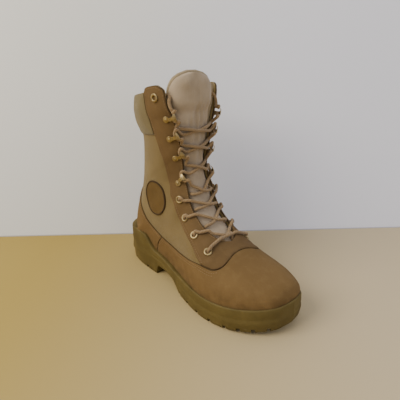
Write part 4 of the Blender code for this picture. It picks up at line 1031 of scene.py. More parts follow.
def bottom_inset(share):
    return TREAD_TAPER + (HEEL_TAPER - TREAD_TAPER) * ramp(share, *TAPER_SPAN)


def bumper(share):
    """The rubber is thicker round the toe."""
    return -BUMPER_THICKNESS * ramp(share, *BUMPER_SPAN)


def shifted_line(line, shift):
    """The same flat line, moved to its left."""
    tangent = unit(np.gradient(line, axis=0))
    return line + np.stack([-tangent[:, 1], tangent[:, 0]], axis=1) * shift


def groove_prism(work, path, bottom, top):
    """Block of the groove's width along a plan path."""
    left = shifted_line(np.array(path), LUG_GROOVE / 2)
    right = shifted_line(np.array(path), -LUG_GROOVE / 2)
    ring = [work.verts.new((x, y, bottom)) for x, y in np.vstack([left, right[::-1]])]
    grown = bmesh.ops.extrude_face_region(work, geom=[work.faces.new(ring)])
    moved = [item for item in grown["geom"] if isinstance(item, bmesh.types.BMVert)]
    bmesh.ops.translate(work, verts=moved, vec=(0.0, 0.0, top - bottom))


def make_outsole(finish, leathers):
    """Moulded sole: tread, arch, stepped side, toe bumper, rim and heel cup."""
    leather = tree_of(*leathers)
    back = 0.004

    def at(side, share, inset, height):
        x, y = plan_point(side, share, inset)
        return (x, y, float(height))

    def wall(side, share, height):
        """Point on the leather behind the rim at a height."""
        x, y = plan_point(side, share, 0.0)
        inner = plan_point(side, share, 0.01)
        direction = Vector((inner[0] - x, inner[1] - y, 0.0)).normalized()
        start = Vector((x, y + MIDLINE, height)) - direction * back
        spot = leather.ray_cast(start, direction, 0.03)[0]
        depth = FEATHER_INSET if spot is None else (spot - start).length - back - RIM_TUCK
        return at(side, share, max(depth, EDGE_ROUND), height)

    def tread(side, share):
        return at(side, share, bottom_inset(share) + 0.0004, ground_height(share))

    def level(rise, turn):
        def ring(side, share):
            inset = bottom_inset(share) - EDGE_ROUND * math.sin(turn)
            return at(side, share, inset, ground_height(share) + rise)
        return ring

    def lower(part):
        def ring(side, share):
            start = ground_height(share) + EDGE_ROUND
            end = step_level(share) - STEP_BAND
            depth = SIDE_STEP * ramp(share, *STEP_SPAN)
            inset = ((bottom_inset(share) - EDGE_ROUND) * (1 - part)
                     + (SIDE_RELIEF + depth + bumper(share)) * part)
            return at(side, share, inset, start + (end - start) * part)
        return ring

    def step(side, share):
        return at(side, share, SIDE_RELIEF + bumper(share), step_level(share))

    def upper(part):
        def ring(side, share):
            start = step_level(share) + 0.0004
            end = rim_height(share) - EDGE_ROUND
            lean = heel_lean(share) * part
            groove = SIDE_GROOVE * math.exp(-((part - 0.30) / 0.10) ** 2)
            return at(side, share, SIDE_RELIEF + bumper(share) * (1 - part) + lean + groove,
                      start + (end - start) * part)
        return ring

    def rim(turn):
        def ring(side, share):
            inset = SIDE_RELIEF + heel_lean(share) + EDGE_ROUND * (1 - math.cos(turn))
            return at(side, share, inset, rim_height(share) - EDGE_ROUND * (1 - math.sin(turn)))
        return ring

    def inner(part):
        def ring(side, share):
            top = rim_height(share) - 0.0005
            foot = seat_height(share) + 0.0006
            return wall(side, share, top + (foot - top) * part)
        return ring

    levels = [tread, level(0.0003, 0.6), level(EDGE_ROUND, math.pi / 2)]
    levels += [lower(part) for part in (0.25, 0.5, 0.75, 1.0)]
    levels += [step] + [upper(part) for part in (0.0, 0.15, 0.25, 0.35, 0.5, 0.75, 1.0)]
    levels += [rim(turn) for turn in (0.5, 1.0, math.pi / 2)]
    levels += [inner(part) for part in (0.0, 0.2, 0.5, 1.0)]
    sole = plan_solid("sole", levels, finish)
    work = bmesh.new()
    outside = -GROOVE_OVERRUN
    for edge, middle in TREAD_GROOVES:
        path = [plan_point(LATERAL, edge, outside), (station_x(middle), 0.0),
                plan_point(MEDIAL, edge, outside)]
        groove_prism(work, path, -GROOVE_OVERRUN, toe_spring(edge) + LUG_DEPTH)
    for share in EDGE_NOTCHES:
        for side in SIDES:
            path = [plan_point(side, share, outside), plan_point(side, share, NOTCH_LENGTH)]
            groove_prism(work, path, -GROOVE_OVERRUN, toe_spring(share) + LUG_DEPTH)
    bmesh.ops.recalc_face_normals(work, faces=work.faces[:])
    grooves = finish_mesh("grooves", work, finish)
    cutting = sole.modifiers.new("grooves", "BOOLEAN")
    cutting.object = grooves
    cutting.solver = "EXACT"
    settle(sole)
    bpy.data.objects.remove(grooves)
    sole.data.shade_smooth()
    sole.data.set_sharp_from_angle(angle=math.radians(32.0))
    return sole


def make_insole(finish):
    def at(rise, inset):
        def ring(side, share):
            share = INSOLE_REACH[0] + share * (INSOLE_REACH[1] - INSOLE_REACH[0])
            x, y = plan_point(side, share, FEATHER_INSET + WALL + LINING_THICKNESS + inset)
            return (x, y, float(seat_height(share)) + GAP + rise)
        return ring

    top = INSOLE_THICKNESS
    return plan_solid("footbed", [at(0.0, 0.0002), at(0.0004, 0.0), at(top - 0.0006, 0.0),
                                 at(top, 0.0006)], finish, across=10)


# Tongue

def tongue_reach(side, station):
    half = HALVES[side]
    level = level_at(station)
    reach = half.at(half.throat, station) + table(TONGUE_CURVE, level) * TONGUE_LAP
    return reach - (table(TONGUE_LEAN, level) if side == MEDIAL else 0.0)


GATHERS = [
    # share across, slant per level, middle level, level reach, width, rise
    (-0.22, 0.80, 1.80, 0.09, 0.09, 0.0020),
    (0.06, 0.30, 1.79, 0.13, 0.07, 0.0024),
    (0.30, -0.20, 1.81, 0.12, 0.08, 0.0022),
    (0.55, -0.50, 1.84, 0.11, 0.08, 0.0018),
    (-0.48, 1.30, 1.76, 0.08, 0.09, 0.0016),
    (0.18, 0.00, 1.90, 0.05, 0.05, 0.0010),
    (0.10, 0.20, 1.62, 0.07, 0.13, 0.0015),
    (-0.30, 0.90, 1.60, 0.06, 0.11, 0.0013),
    (-0.10, 0.50, 1.46, 0.07, 0.12, 0.0014),
    (0.35, -0.50, 1.43, 0.07, 0.12, 0.0013),
    (-0.40, 0.20, 2.08, 0.04, 0.16, 0.0011),
]


def tongue_relief(level, share):
    """Soft dome with gathers where the top laces pull the cloth in."""
    dome = TONGUE_DOME * ramp(level, *DOME_START) * ramp(level, *DOME_END)
    dip = TONGUE_DIP * np.exp(-((level - DIP_LEVEL) / DIP_REACH) ** 2)
    relief = (dome - dip) * (1.0 - share ** 2)
    for middle, slant, height, reach, width, rise in GATHERS:
        across = share - middle - slant * (level - height)
        relief = relief + rise * (np.exp(-(across / width) ** 2)
                                  - 0.7 * np.exp(-((across - 1.7 * width) / width) ** 2)) \
            * np.exp(-((level - height) / reach) ** 2)
    return relief


def make_tongue(finish):
    first, last = station_at(TONGUE_FOOT), station_at(TONGUE_TOP)
    work = bmesh.new()
    verts, along, width = grid(work, *TONGUE_CELLS)
    stations = first + (last - first) * (1.0 - (1.0 - along) ** TONGUE_CROWDING)
    across = 2.0 * width - 1.0
    levels = level_at(stations)
    share = np.abs(across)
    drop = TONGUE_DROP * (1.0 - smooth((stations - first) / TONGUE_DROP_RUN))
    face = WALL + TONGUE_CLEARANCE + drop
    edge = share ** TONGUE_EDGE_POWER
    tuck = TONGUE_TUCK * ramp(levels, *TUCK_SPAN) * edge
    outer = TONGUE_EDGE_FALL * edge + tuck
    inner = 1.0 - TONGUE_EDGE_RISE * edge + tuck
    foot = smooth((stations - first) / TONGUE_FOOT_RUN)
    head = np.sqrt(np.clip((last - stations) / TONGUE_HEAD_RUN, 0.0, 1.0))
    thin = ((TONGUE_FOOT_THIN + (1.0 - TONGUE_FOOT_THIN) * foot)
            * (TONGUE_HEAD_THIN + (1.0 - TONGUE_HEAD_THIN) * head))
    low = -face - TONGUE_THICKNESS * (outer + (inner - outer) * thin)
    high = -face - TONGUE_THICKNESS * outer + tongue_relief(levels, across)
    uv = work.loops.layers.uv.new("cloth")
    places = {}
    spots = [np.empty((len(verts), 3)) for _ in range(2)]
    sheet = np.empty((len(verts), 2))
    for side in SIDES:
        half = HALVES[side]
        mine = across * side >= 0 if side == MEDIAL else across < 0
        reach = tongue_reach(side, stations[mine])
        arc = share[mine] * reach
        for height, spot in zip((low, high), spots):
            spot[mine] = half.point(stations[mine], arc, height[mine])
        sheet[mine] = np.stack([side * arc, half.at(half.along, stations[mine])], axis=1)
    for place, vert in enumerate(verts):
        vert.index = place
        places[tuple(vert.co)] = place
    for grid_face in work.faces:
        for loop in grid_face.loops:
            loop[uv].uv = sheet[loop.vert.index]
    for vert in grow(work, work.faces):
        vert.co = spots[1][places[tuple(vert.co)]]
    for place, vert in enumerate(verts):
        vert.co = spots[0][place]
    bmesh.ops.recalc_face_normals(work, faces=work.faces[:])
    return finish_mesh("tongue_pad", work, finish, angle=70.0)


def tongue_border(start):
    """Path round the top of the tongue, up one side and down the other."""
    last = station_at(TONGUE_TOP)
    stations = np.linspace(station_at(start), last, 40)
    sides = []
    for side in SIDES:
        half = HALVES[side]
        reach = tongue_reach(side, stations)
        depth = -WALL - TONGUE_CLEARANCE - TONGUE_THICKNESS * 0.95
        sides.append(half.point(stations, reach * 0.985, np.full(len(stations), depth)))
    return np.vstack([sides[0], sides[1][::-1]])


# Hardware

def frame_of(x_axis, y_axis, z_axis, origin):
    """Matrix with these axes at this origin."""
    matrix = Matrix((x_axis, y_axis, z_axis)).transposed().to_4x4()
    matrix.translation = Vector(origin)
    return matrix


def mount_frame(side, row):
    """Origin on the facing's face, x towards the throat, z outwards."""
    level, setback = row
    half = HALVES[side]
    station = station_at(level)
    arc = float(half.at(half.throat, station)) + setback * FACING_WIDTH
    outward = half.outward(station, arc)
    origin = half.point(station, arc, GAP + FACING)
    inward = half.point(station, arc - 0.004, 0.0) - half.point(station, arc + 0.004, 0.0)
    inward = unit(inward - outward * inward.dot(outward))
    return frame_of(inward, np.cross(outward, inward), outward, origin)


def spun(work, profile, steps):
    """Turned ring from its closed profile."""
    ring = [work.verts.new((radius, 0.0, height)) for radius, height in profile]
    edges = [work.edges.new((start, end)) for start, end in zip(ring, ring[1:] + ring[:1])]
    bmesh.ops.spin(work, geom=ring + edges, cent=(0, 0, 0), axis=(0, 0, 1), use_merge=True,
                   angle=2 * math.pi, steps=steps)
    bmesh.ops.remove_doubles(work, verts=work.verts[:], dist=1e-6)


def mounted(name, work, side, row, finish, angle):
    """Finishes a piece of hardware and sets it on its facing."""
    bmesh.ops.recalc_face_normals(work, faces=work.faces[:])
    bmesh.ops.transform(work, matrix=mount_frame(side, row), verts=work.verts[:])
    return finish_mesh(name, work, finish, angle=angle)


def make_eyelet(name, side, row, finish):
    work = bmesh.new()
    low = -(FACING + WALL + 2 * GAP)
    roll = [(EYELET_FLANGE, SEAT_LIFT), (EYELET_FLANGE, SEAT_LIFT + 0.0003)]
    for step in range(1, 8):
        turn = math.pi * step / 8
        radius = EYELET_BORE + (EYELET_FLANGE - EYELET_BORE) * (0.5 + 0.5 * math.cos(turn))
        roll.append((radius, SEAT_LIFT + 0.0003 + (EYELET_HEIGHT - 0.0003) * math.sin(turn)))
    profile = roll + [(EYELET_BORE, SEAT_LIFT), (EYELET_BORE, low), (EYELET_BARREL, low),
                      (EYELET_BARREL, SEAT_LIFT)]
    spun(work, profile, 28)
    return mounted(name, work, side, row, finish, 50.0)


def make_hook(name, side, row, finish):
    """Speed hook: pressed plate with a domed rivet, bent arm and flared lip."""
    low = SEAT_LIFT
    high = SEAT_LIFT + HOOK_PLATE
    arm = HOOK_ARM_WIDTH / 2
    lip = HOOK_LIP / 2
    work = bmesh.new()
    base = HOOK_BASE / 2 * HOOK_PLATE_SHARE
    bmesh.ops.create_cone(work, cap_ends=True, segments=24, radius1=base, radius2=base * 0.93,
                          depth=HOOK_PLATE, matrix=Matrix.Translation((0, 0, (low + high) / 2)))
    rim_edges = [edge for edge in work.edges if all(vert.co.z > high - 1e-5 for vert in edge.verts)]
    bmesh.ops.bevel(work, geom=rim_edges, offset=0.0003, segments=2, profile=0.5, material=-1,
                    affect="EDGES")
    rivet = bmesh.ops.create_uvsphere(work, u_segments=16, v_segments=8, radius=base * 0.42)
    bmesh.ops.scale(work, vec=(1.0, 1.0, 0.40), verts=rivet["verts"])
    bmesh.ops.translate(work, vec=(0.0, 0.0, high + 0.0001), verts=rivet["verts"])
    rows = [
        # distance towards the throat, half width, middle height, thickness
        (base * 0.55, arm * 1.10, low + 0.0006, 0.0009),
        (base * 0.95, arm * 1.00, low + 0.0008, 0.0009),
        (base * 1.30, arm * 0.84, low + 0.0026, 0.0009),
        (base * 1.60, arm * 0.78, low + 0.0047, 0.0009),
        (base * 1.95, arm * 0.78, low + 0.0056, 0.0009),
        (HOOK_ARM - 0.0034, arm * 0.82, low + 0.0057, 0.0009),
        (HOOK_ARM - 0.0018, lip * 0.80, low + 0.0055, 0.0009),
        (HOOK_ARM - 0.0004, lip * 0.98, low + 0.0053, 0.0010),
        (HOOK_ARM + 0.0008, lip, low + 0.0050, 0.0010),
    ]
    verts, along, width = grid(work, len(rows) - 1, 6)
    faces = dict.fromkeys(face for vert in verts for face in vert.link_faces)
    for vert, part, across in zip(verts, along, 2.0 * width - 1.0):
        x, half, middle, thick = rows[round(part * (len(rows) - 1))]
        curl = 0.0010 * across ** 2 * smooth((x - HOOK_ARM + 0.002) / 0.002)
        vert.co = (x - 0.8 * curl, half * across, middle - curl - thick / 2)
    bmesh.ops.translate(work, vec=(-0.00025, 0.0, 0.00095), verts=grow(work, faces))
    return mounted(name, work, side, row, finish, 35.0)


# Lace

def over(side, level, from_throat, height):
    """Point over the boot: distance back from the throat edge, and height."""
    half = HALVES[side]
    station = station_at(level)
    return half.point(station, float(half.at(half.throat, station)) + from_throat, height)


def arc_at_width(side, station, half_width):
    half = HALVES[side]
    shares = np.linspace(0.0, 0.6, 200)
    spots = half.read(half.place, station, shares)
    out = np.maximum.accumulate(np.abs(spots[:, 1] - spots[0, 1]))
    return float(np.interp(half_width, out, shares) * half.at(half.length, station))


def crown_point(level, offset, height):
    station = station_at(level)
    side = LATERAL if offset < 0.0 else MEDIAL
    return HALVES[side].point(station, arc_at_width(side, station, abs(offset)), height)


OVER_TONGUE = -WALL - TONGUE_CLEARANCE + LACE / 2 + 2 * GAP
OVER_FACING = GAP + FACING + LACE / 2 + 2 * GAP


def on_frame(side, row, x, y, z):
    return np.array(mount_frame(side, row) @ Vector((x, -side * y, z)))


def out_of_bore(side, row, fall):
    """From behind the wall up through an eyelet and on to the throat edge, lower by fall."""
    reach = row[1] * FACING_WIDTH
    path = [on_frame(side, row, *spot) for spot in BORE_PATH]
    path.append(over(side, row[0] - 0.5 * fall, reach - EYELET_FLANGE - 0.5 * LACE,
                     OVER_FACING + 0.0002))
    path.append(over(side, row[0] - fall, 0.15 * LACE, OVER_FACING))
    return path


def from_behind(side, row):
    """From an eyelet's back, under the facing, to the throat edge."""
    path = [on_frame(side, row, *spot) for spot in BEHIND_PATH]
    path.append(over(side, row[0] - 0.014, 0.9 * LACE, -WALL - LACE * 0.55))
    path.append(over(side, row[0] - 0.024, -0.2 * LACE, -WALL - LACE * 0.30))
    return path


def off_hook(side, row, up):
    """From the hook's neck past a corner of its lip."""
    return [on_frame(side, row, HOOK_ARM + x, up * y, z) for x, y, z in HOOK_PATH]


def crossing_path(side, low_row, high_row, lift):
    low, high = low_row[0], high_row[0]
    rise = high - low
    first = LACE_FIRST_START if low_row == EYELET_ROWS[0] else LACE_START
    bow = LACE_BOW * (high - THROAT[0][0])
    start = float(table(THROAT, low)) * THROAT_WIDTH / 2 - LACE
    end = float(table(THROAT, high)) * THROAT_WIDTH / 2 - LACE
    last = 1.0 - 1.15 * LACE_FALL / rise
    if low_row in HOOK_ROWS:
        points = off_hook(side, low_row, 1.0)
        bow = 0.3 * bow
        start = min(start, abs(points[-1][1]) - 0.6 * LACE)
        first = LACE_HOOK_START
    else:
        points = from_behind(side, low_row)
    if high_row in HOOK_ROWS:
        arrive = off_hook(-side, high_row, -1.0)[::-1]
        end = min(end, abs(arrive[0][1]) - 0.6 * LACE)
        last = LACE_HOOK_LAST
    else:
        arrive = out_of_bore(-side, high_row, LACE_FALL)[::-1]
    for step in range(5):
        t = step / 4
        offset = side * (start - (start + end) * t)
        level = low + rise * (first + (last - first) * t ** LACE_DROOP)
        level -= bow * (0.55 + 0.45 * math.sin(math.pi * t))
        points.append(crown_point(level, offset, OVER_TONGUE + LACE_SLACK + lift))
    return points + arrive


def end_path(side):
    """From the top hook up the facing's front edge and in behind the tab to its eyelet."""
    behind = -WALL - LACE / 2 - 4 * GAP
    low = HOOK_ROWS[-1][0]
    high, setback = TAB_ROW
    rows = [
        # share of the way to the tab's eyelet, distance behind the throat edge, height
        (0.26, -0.90 * LACE, 0.70 * LACE),
        (0.40, -0.80 * LACE, 0.50 * LACE),
        (0.56, -0.75 * LACE, 0.20 * LACE),
        (0.74, -0.80 * LACE, -0.20 * LACE),
        (0.87, -0.90 * LACE, 0.75 * behind),
        (0.97, -0.30 * LACE, 1.24 * behind),
        (1.02, 1.20 * LACE, 1.16 * behind),
        (1.00, setback * FACING_WIDTH, 1.06 * behind),
    ]
    points = off_hook(side, HOOK_ROWS[-1], 1.0)[2:]
    points += [over(side, low + (high - low) * share, back, height)
               for share, back, height in rows]
    return points


def strand(name, points, finish, steps=6):
    return tube(name, catmull(points, [steps] * (len(points) - 1)), LACE / 2, finish, sides=12)


def make_laces(finish):
    rows = EYELET_ROWS + HOOK_ROWS
    half = float(table(THROAT, rows[0][0])) * THROAT_WIDTH / 2
    bar = out_of_bore(LATERAL, rows[0], 0.0)
    bar += [crown_point(rows[0][0], offset, OVER_TONGUE + 0.8 * LACE)
            for offset in (LACE - half, 0.0, half - LACE)]
    bar += out_of_bore(MEDIAL, rows[0], 0.0)[::-1]
    pieces = [dress(strand("lace_bar_cord", bar, finish), "lace_cord", "lace_bar")]
    for number, (low, high) in enumerate(zip(rows, rows[1:]), start=1):
        pair = [strand(f"strand_{number}_{side}",
                       crossing_path(side, low, high, 0.0 if side == LATERAL else LACE_OVERLAY),
                       finish)
                for side in SIDES]
        crossing = merge(f"lace_cross_{number}", pair)
        pieces.append(dress(crossing, "lace_cord", f"lace_crossing_{number}"))
    for side, word in zip(SIDES, ("lateral", "medial")):
        points = end_path(side)
        path = catmull(points, [5] * (len(points) - 1))
        end = dress(tube(f"lace_tail_{word}", path, LACE / 2, finish), "lace_cord",
                    f"lace_end_{word}")
        path = path + np.array([0.0, MIDLINE, 0.0])
        length = float(run_along(path)[-1])
        [float(value) for value in path[0]]
        [list(map(float, point)) for point in path]
        pieces.append(end)
    return pieces


# Stitches

def stitch_path(work, spots, outwards, pitch=0.0031, length=0.0022, width=0.00072):
    """Small thread stitches along a path on the leather."""
    run = run_along(spots)
    for place in range(int(run[-1] / pitch)):
        here = (place + 0.5) * pitch
        spot = read_line(here, run, spots)
        out = unit(read_line(here, run, outwards))
        along = read_line(here + pitch / 2, run, spots) - spot
        along -= out * along.dot(out)
        if np.linalg.norm(along) < 1e-7:
            continue
        along = unit(along)
        thread = frame_of(along * length / 2, np.cross(out, along) * width / 2, out * width / 2,
                          spot + out * width * 0.15)
        bmesh.ops.create_icosphere(work, subdivisions=1, radius=1.0, matrix=thread)


def cast_side(tree, line, side):
    """Side-view points thrown onto a piece from its own side."""
    spots, outwards = [], []
    for x, z in line:
        start = Vector((x, side * 0.15, z))
        spot, normal, _, _ = tree.ray_cast(start, Vector((0.0, -side, 0.0)), 0.149)
        if spot is not None:
            spots.append(spot)
            outwards.append(normal)
    return spots, outwards


def resample(line, step=0.0012):
    run = run_along(line)
    return read_line(np.arange(0.0, run[-1], step), run, line)


def make_stitches(finish, leathers, facings):
    """Thread along every seam, in the rows that the leather shows."""
    work = bmesh.new()
    tree = tree_of(*leathers)
    for side in SIDES:
        for shift in (-row for row in STITCH_ROWS):
            line = resample(shifted_line(FOXING_LINE, shift))
            line = line[line[:, 0] < station_x(STITCH_FRONT)]
            spots, outwards = cast_side(tree, line, side)
            stitch_path(work, spots, outwards)
        for shift in FACING_ROWS:
            line = resample(shifted_line(HEEL_LINE, shift))
            line = line[line[:, 1] > STITCH_LOW]
            spots, outwards = cast_side(tree, line, side)
            keep = [place for place, spot in enumerate(spots)
                    if signed_distance(np.array([[spot[0], spot[2]]]), FOXING_LINE)[0] < -0.004]
            spots = [spots[place] for place in keep]
            outwards = [outwards[place] for place in keep]
            if len(spots) > 3:
                stitch_path(work, spots, outwards)
        half = HALVES[side]
        rows = [(half.throat, STITCH_INSET)]
        rows += [(half.facing, -inset) for inset in STITCH_OUTER_ROWS]
        for start, offset in rows:
            stations = np.linspace(TIP + 0.9, station_at(STITCH_TOP), 260)
            arcs = half.at(start, stations) + offset
            height = np.full(len(stations), GAP + FACING - 0.0001)
            spots = half.point(stations, arcs, height)
            inside = -signed_distance(seen(spots), RIM_LINE) > STITCH_INSET
            inside &= signed_distance(seen(spots), FOXING_LINE) > STITCH_INSET
            spots = spots[inside] + np.array([0.0, MIDLINE, 0.0])
            stitch_path(work, spots, half.outward(stations[inside], arcs[inside]))
        spots, outwards = cast_side(tree_of(*facings), resample(shifted_line(RIM_LINE, -0.0024)),
                                    side)
        stitch_path(work, spots, outwards)
    bmesh.ops.translate(work, vec=(0.0, -MIDLINE, 0.0), verts=work.verts[:])
    return finish_mesh("stitches", work, finish, angle=180.0)


# Shader maths

def feed(socket, value):
    """Sets a socket or links it."""
    if isinstance(value, Value):
        value.tree.links.new(value.socket, socket)
    elif hasattr(value, "is_output"):
        socket.id_data.links.new(value, socket)
    else:
        socket.default_value = value


class Value:
    """A number in a material; an expression on it adds the Math nodes."""

    def __init__(self, socket):
        self.socket = socket
        self.tree = socket.id_data

    def maths(self, operation, *values, clamp=False):
        made = self.tree.nodes.new("ShaderNodeMath")
        made.operation = operation
        made.use_clamp = clamp
        for place, value in enumerate(values):
            feed(made.inputs[place], value)
        return Value(made.outputs[0])

    def __add__(self, other):
        return self.maths("ADD", self, other)

    __radd__ = __add__

    def __sub__(self, other):
        return self.maths("SUBTRACT", self, other)

    def __rsub__(self, other):
        return self.maths("SUBTRACT", other, self)

    def __mul__(self, other):
        return self.maths("MULTIPLY", self, other)

    __rmul__ = __mul__

    def __truediv__(self, other):
        return self.maths("DIVIDE", self, other)

    def __pow__(self, other):
        return self.maths("POWER", self, other)

    def __abs__(self):
        return self.maths("ABSOLUTE", self)

    def sine(self):
        return self.maths("SINE", self)

    def held(self):
        return self.maths("ADD", self, 0.0, clamp=True)

    def between(self, low, high):
        """0 below low, 1 above high, smooth between them."""
        made = self.tree.nodes.new("ShaderNodeMapRange")
        made.interpolation_type = "SMOOTHSTEP"
        for name, value in (("Value", self), ("From Min", low), ("From Max", high)):
            feed(made.inputs[name], value)
        return Value(made.outputs[0])


class Finish:
    """A procedural material."""

    def __init__(self, name, **constants):
        self.material = bpy.data.materials.new(name)
        self.material.use_nodes = True
        self.tree = self.material.node_tree
        self.shader = self.tree.nodes["Principled BSDF"]
        for socket, value in constants.items():
            self.shader.inputs[socket.replace("_", " ")].default_value = value
        self.place = self.node("ShaderNodeTexCoord").outputs["Object"]

    def node(self, kind, settings=None, values=None):
        made = self.tree.nodes.new(kind)
        for name, value in (settings or {}).items():
            setattr(made, name, value)
        for name, value in (values or {}).items():
            feed(made.inputs[name], value)
        return made

    def noise(self, size, detail=3.0, roughness=0.55, stretch=None):
        """Noise whose features are about this size, in metres."""
        place = self.place
        if stretch:
            place = self.node("ShaderNodeMapping", values={"Vector": place,
                                                           "Scale": stretch}).outputs[0]
        made = self.node("ShaderNodeTexNoise", values={"Vector": place, "Scale": 1.0 / size,
                                                       "Detail": detail, "Roughness": roughness})
        return Value(made.outputs["Fac"])

    def attribute(self, name):
        return Value(self.node("ShaderNodeAttribute", {"attribute_name": name}).outputs["Fac"])

    def axes(self, vector=None):
        split = self.node("ShaderNodeSeparateXYZ", values={0: vector or self.place})
        return [Value(socket) for socket in split.outputs]

    def cloth_axes(self):
        return self.axes(self.node("ShaderNodeUVMap", {"uv_map": "cloth"}).outputs[0])[:2]

    def mix(self, share, first, second, blend="MIX"):
        made = self.node("ShaderNodeMix", {"data_type": "RGBA", "blend_type": blend,
                                           "clamp_factor": True}, {0: share})
        for slot, colour in ((6, first), (7, second)):
            feed(made.inputs[slot], (*colour, 1.0) if isinstance(colour, tuple) else colour)
        return made.outputs[2]

    def bump(self, height, distance, strength=1.0):
        made = self.node("ShaderNodeBump", values={"Height": height, "Distance": distance,
                                                   "Strength": strength})
        feed(self.shader.inputs["Normal"], made.outputs[0])

    def set(self, **values):
        for name, value in values.items():
            feed(self.shader.inputs[name.replace("_", " ")], value)
        return self.material


def suede_finish(name, dark, middle, light, soil_and_edge_shade_colour, edged=True):
    """Roughout leather: clouds, mottled nap, scuffs, dirt low down, and cut edges darkened partly
    as burnished leather and partly as painted shade along the edges.
    """
    leather = Finish(name, Sheen_Weight=0.15, Sheen_Roughness=0.55, Sheen_Tint=(*light, 1.0),
                     Specular_IOR_Level=0.22)
    cloud = leather.noise(0.055, 2.0)
    mottle = leather.noise(0.0085, 4.0, 0.6)
    nap = leather.noise(0.0011, 3.0, 0.65)
    grain = leather.noise(0.0030, 2.0)
    colour = leather.mix(cloud.between(0.30, 0.72), dark, middle)
    colour = leather.mix(mottle.between(0.42, 0.78) * 0.35, colour, light)
    colour = leather.mix(nap.between(0.35, 0.75) * 0.25, colour, dark)
    scuff = leather.noise(0.016, 5.0, 0.7, (1.0, 2.2, 2.6)).between(0.60, 0.70)
    colour = leather.mix(scuff * 0.25, colour, light)
    x, _, z = leather.axes()
    soil = (1.0 - z.between(0.030, 0.062)) * leather.noise(0.012, 3.0).between(0.35, 0.75)
    colour = leather.mix(soil * 0.35, colour, soil_and_edge_shade_colour)
    # Painted shade: the cut edges darken as if shaded where the leathers step over each other,
    # partly also burnished leather; where plain is high, near the front seam, most of it is left
    # out.
    if edged:
        edge = leather.attribute("edge")
        plain = x.between(0.034, 0.048) * z.between(0.066, 0.076) * (1.0 - z.between(0.100, 0.108))
        colour = leather.mix((1.0 - edge.between(0.0002, 0.0011)) * (0.80 - 0.72 * plain), colour,
                             soil_and_edge_shade_colour)
    height = nap * 0.55 + grain * 0.45 + mottle * 0.30
    leather.bump(height, 0.00045, 0.75)
    return leather.set(Base_Color=colour, Roughness=0.80 + 0.16 * nap)


def woven_finish(name, dark, light, pitch, depth, seam=None, gloss=0.78):
    """Plain weave on the cloth's own UVs."""
    cloth = Finish(name, Sheen_Weight=0.18, Sheen_Roughness=0.5, Specular_IOR_Level=0.25)
    across, along = cloth.cloth_axes()
    turn = 2.0 * math.pi / pitch
    warp = (across * turn).sine()
    weft = (along * turn).sine()
    weave = warp * weft
    threads = abs(warp) * 0.5 + abs(weft) * 0.5
    cloud = cloth.noise(0.040, 3.0)
    slub = cloth.noise(0.0022, 2.0, 0.5, (1.0, 1.0, 0.25))
    colour = cloth.mix(cloud.between(0.28, 0.75), dark, light)
    shade = tuple(0.62 * value for value in dark)
    colour = cloth.mix((0.5 - 0.5 * weave) * 0.22, colour, shade)
    colour = cloth.mix(slub.between(0.45, 0.80) * 0.30, colour, light)
    # Darker along the edges: partly a seam colour, partly painted shade where the collar's pad
    # meets the quarter.
    if seam is not None:
        edge = cloth.attribute("edge")
        colour = cloth.mix((1.0 - edge.between(0.0003, 0.0014)) * 0.8, colour, seam)
    z = cloth.axes()[2]
    soil = (1.0 - z.between(0.060, 0.110)) * cloth.noise(0.018, 4.0).between(0.40, 0.75)
    colour = cloth.mix(soil * 0.30, colour, shade)
    cloth.bump(weave * 0.5 + threads * 0.25 + slub * 0.5, depth, 0.8)
    return cloth.set(Base_Color=colour, Roughness=gloss + 0.12 * slub)


def rubber_finish():
    """Moulded rubber with a bloom, fine ribs and dust in the low places."""
    rubber = Finish("sole_rubber", Specular_IOR_Level=0.30)
    cloud = rubber.noise(0.030, 3.0)
    speck = rubber.noise(0.0016, 3.0, 0.6)
    z = rubber.axes()[2]
    colour = rubber.mix(cloud.between(0.30, 0.72), (0.090, 0.064, 0.015), (0.132, 0.096, 0.026))
    colour = rubber.mix(speck.between(0.50, 0.80) * 0.25, colour, (0.165, 0.124, 0.046))
    scuff = rubber.noise(0.010, 5.0, 0.7, (1.0, 2.0, 3.0)).between(0.58, 0.68)
    low = 1.0 - z.between(0.004, 0.016)
    colour = rubber.mix((scuff * low * 0.5).held(), colour, (0.22, 0.17, 0.08))
    tread = 1.0 - z.between(0.0005, 0.0040)
    colour = rubber.mix(tread * 0.45, colour, (0.050, 0.036, 0.016))
    ribs = (z * (2.0 * math.pi / 0.0016)).sine()
    rubber.bump(ribs * 0.12 + speck * 0.5 + cloud * 0.3, 0.00022, 0.6)
    return rubber.set(Base_Color=colour, Roughness=0.56 + 0.22 * speck)


def brass_finish():
    brass = Finish("dull_brass", Metallic=1.0)
    tarnish = brass.noise(0.0040, 4.0, 0.65)
    fine = brass.noise(0.0007, 2.0)
    colour = brass.mix(tarnish.between(0.38, 0.70), (0.43, 0.34, 0.18), (0.24, 0.175, 0.08))
    brass.bump(fine * 0.5 + tarnish, 0.00012, 0.5)
    return brass.set(Base_Color=colour, Roughness=0.40 + 0.24 * tarnish)


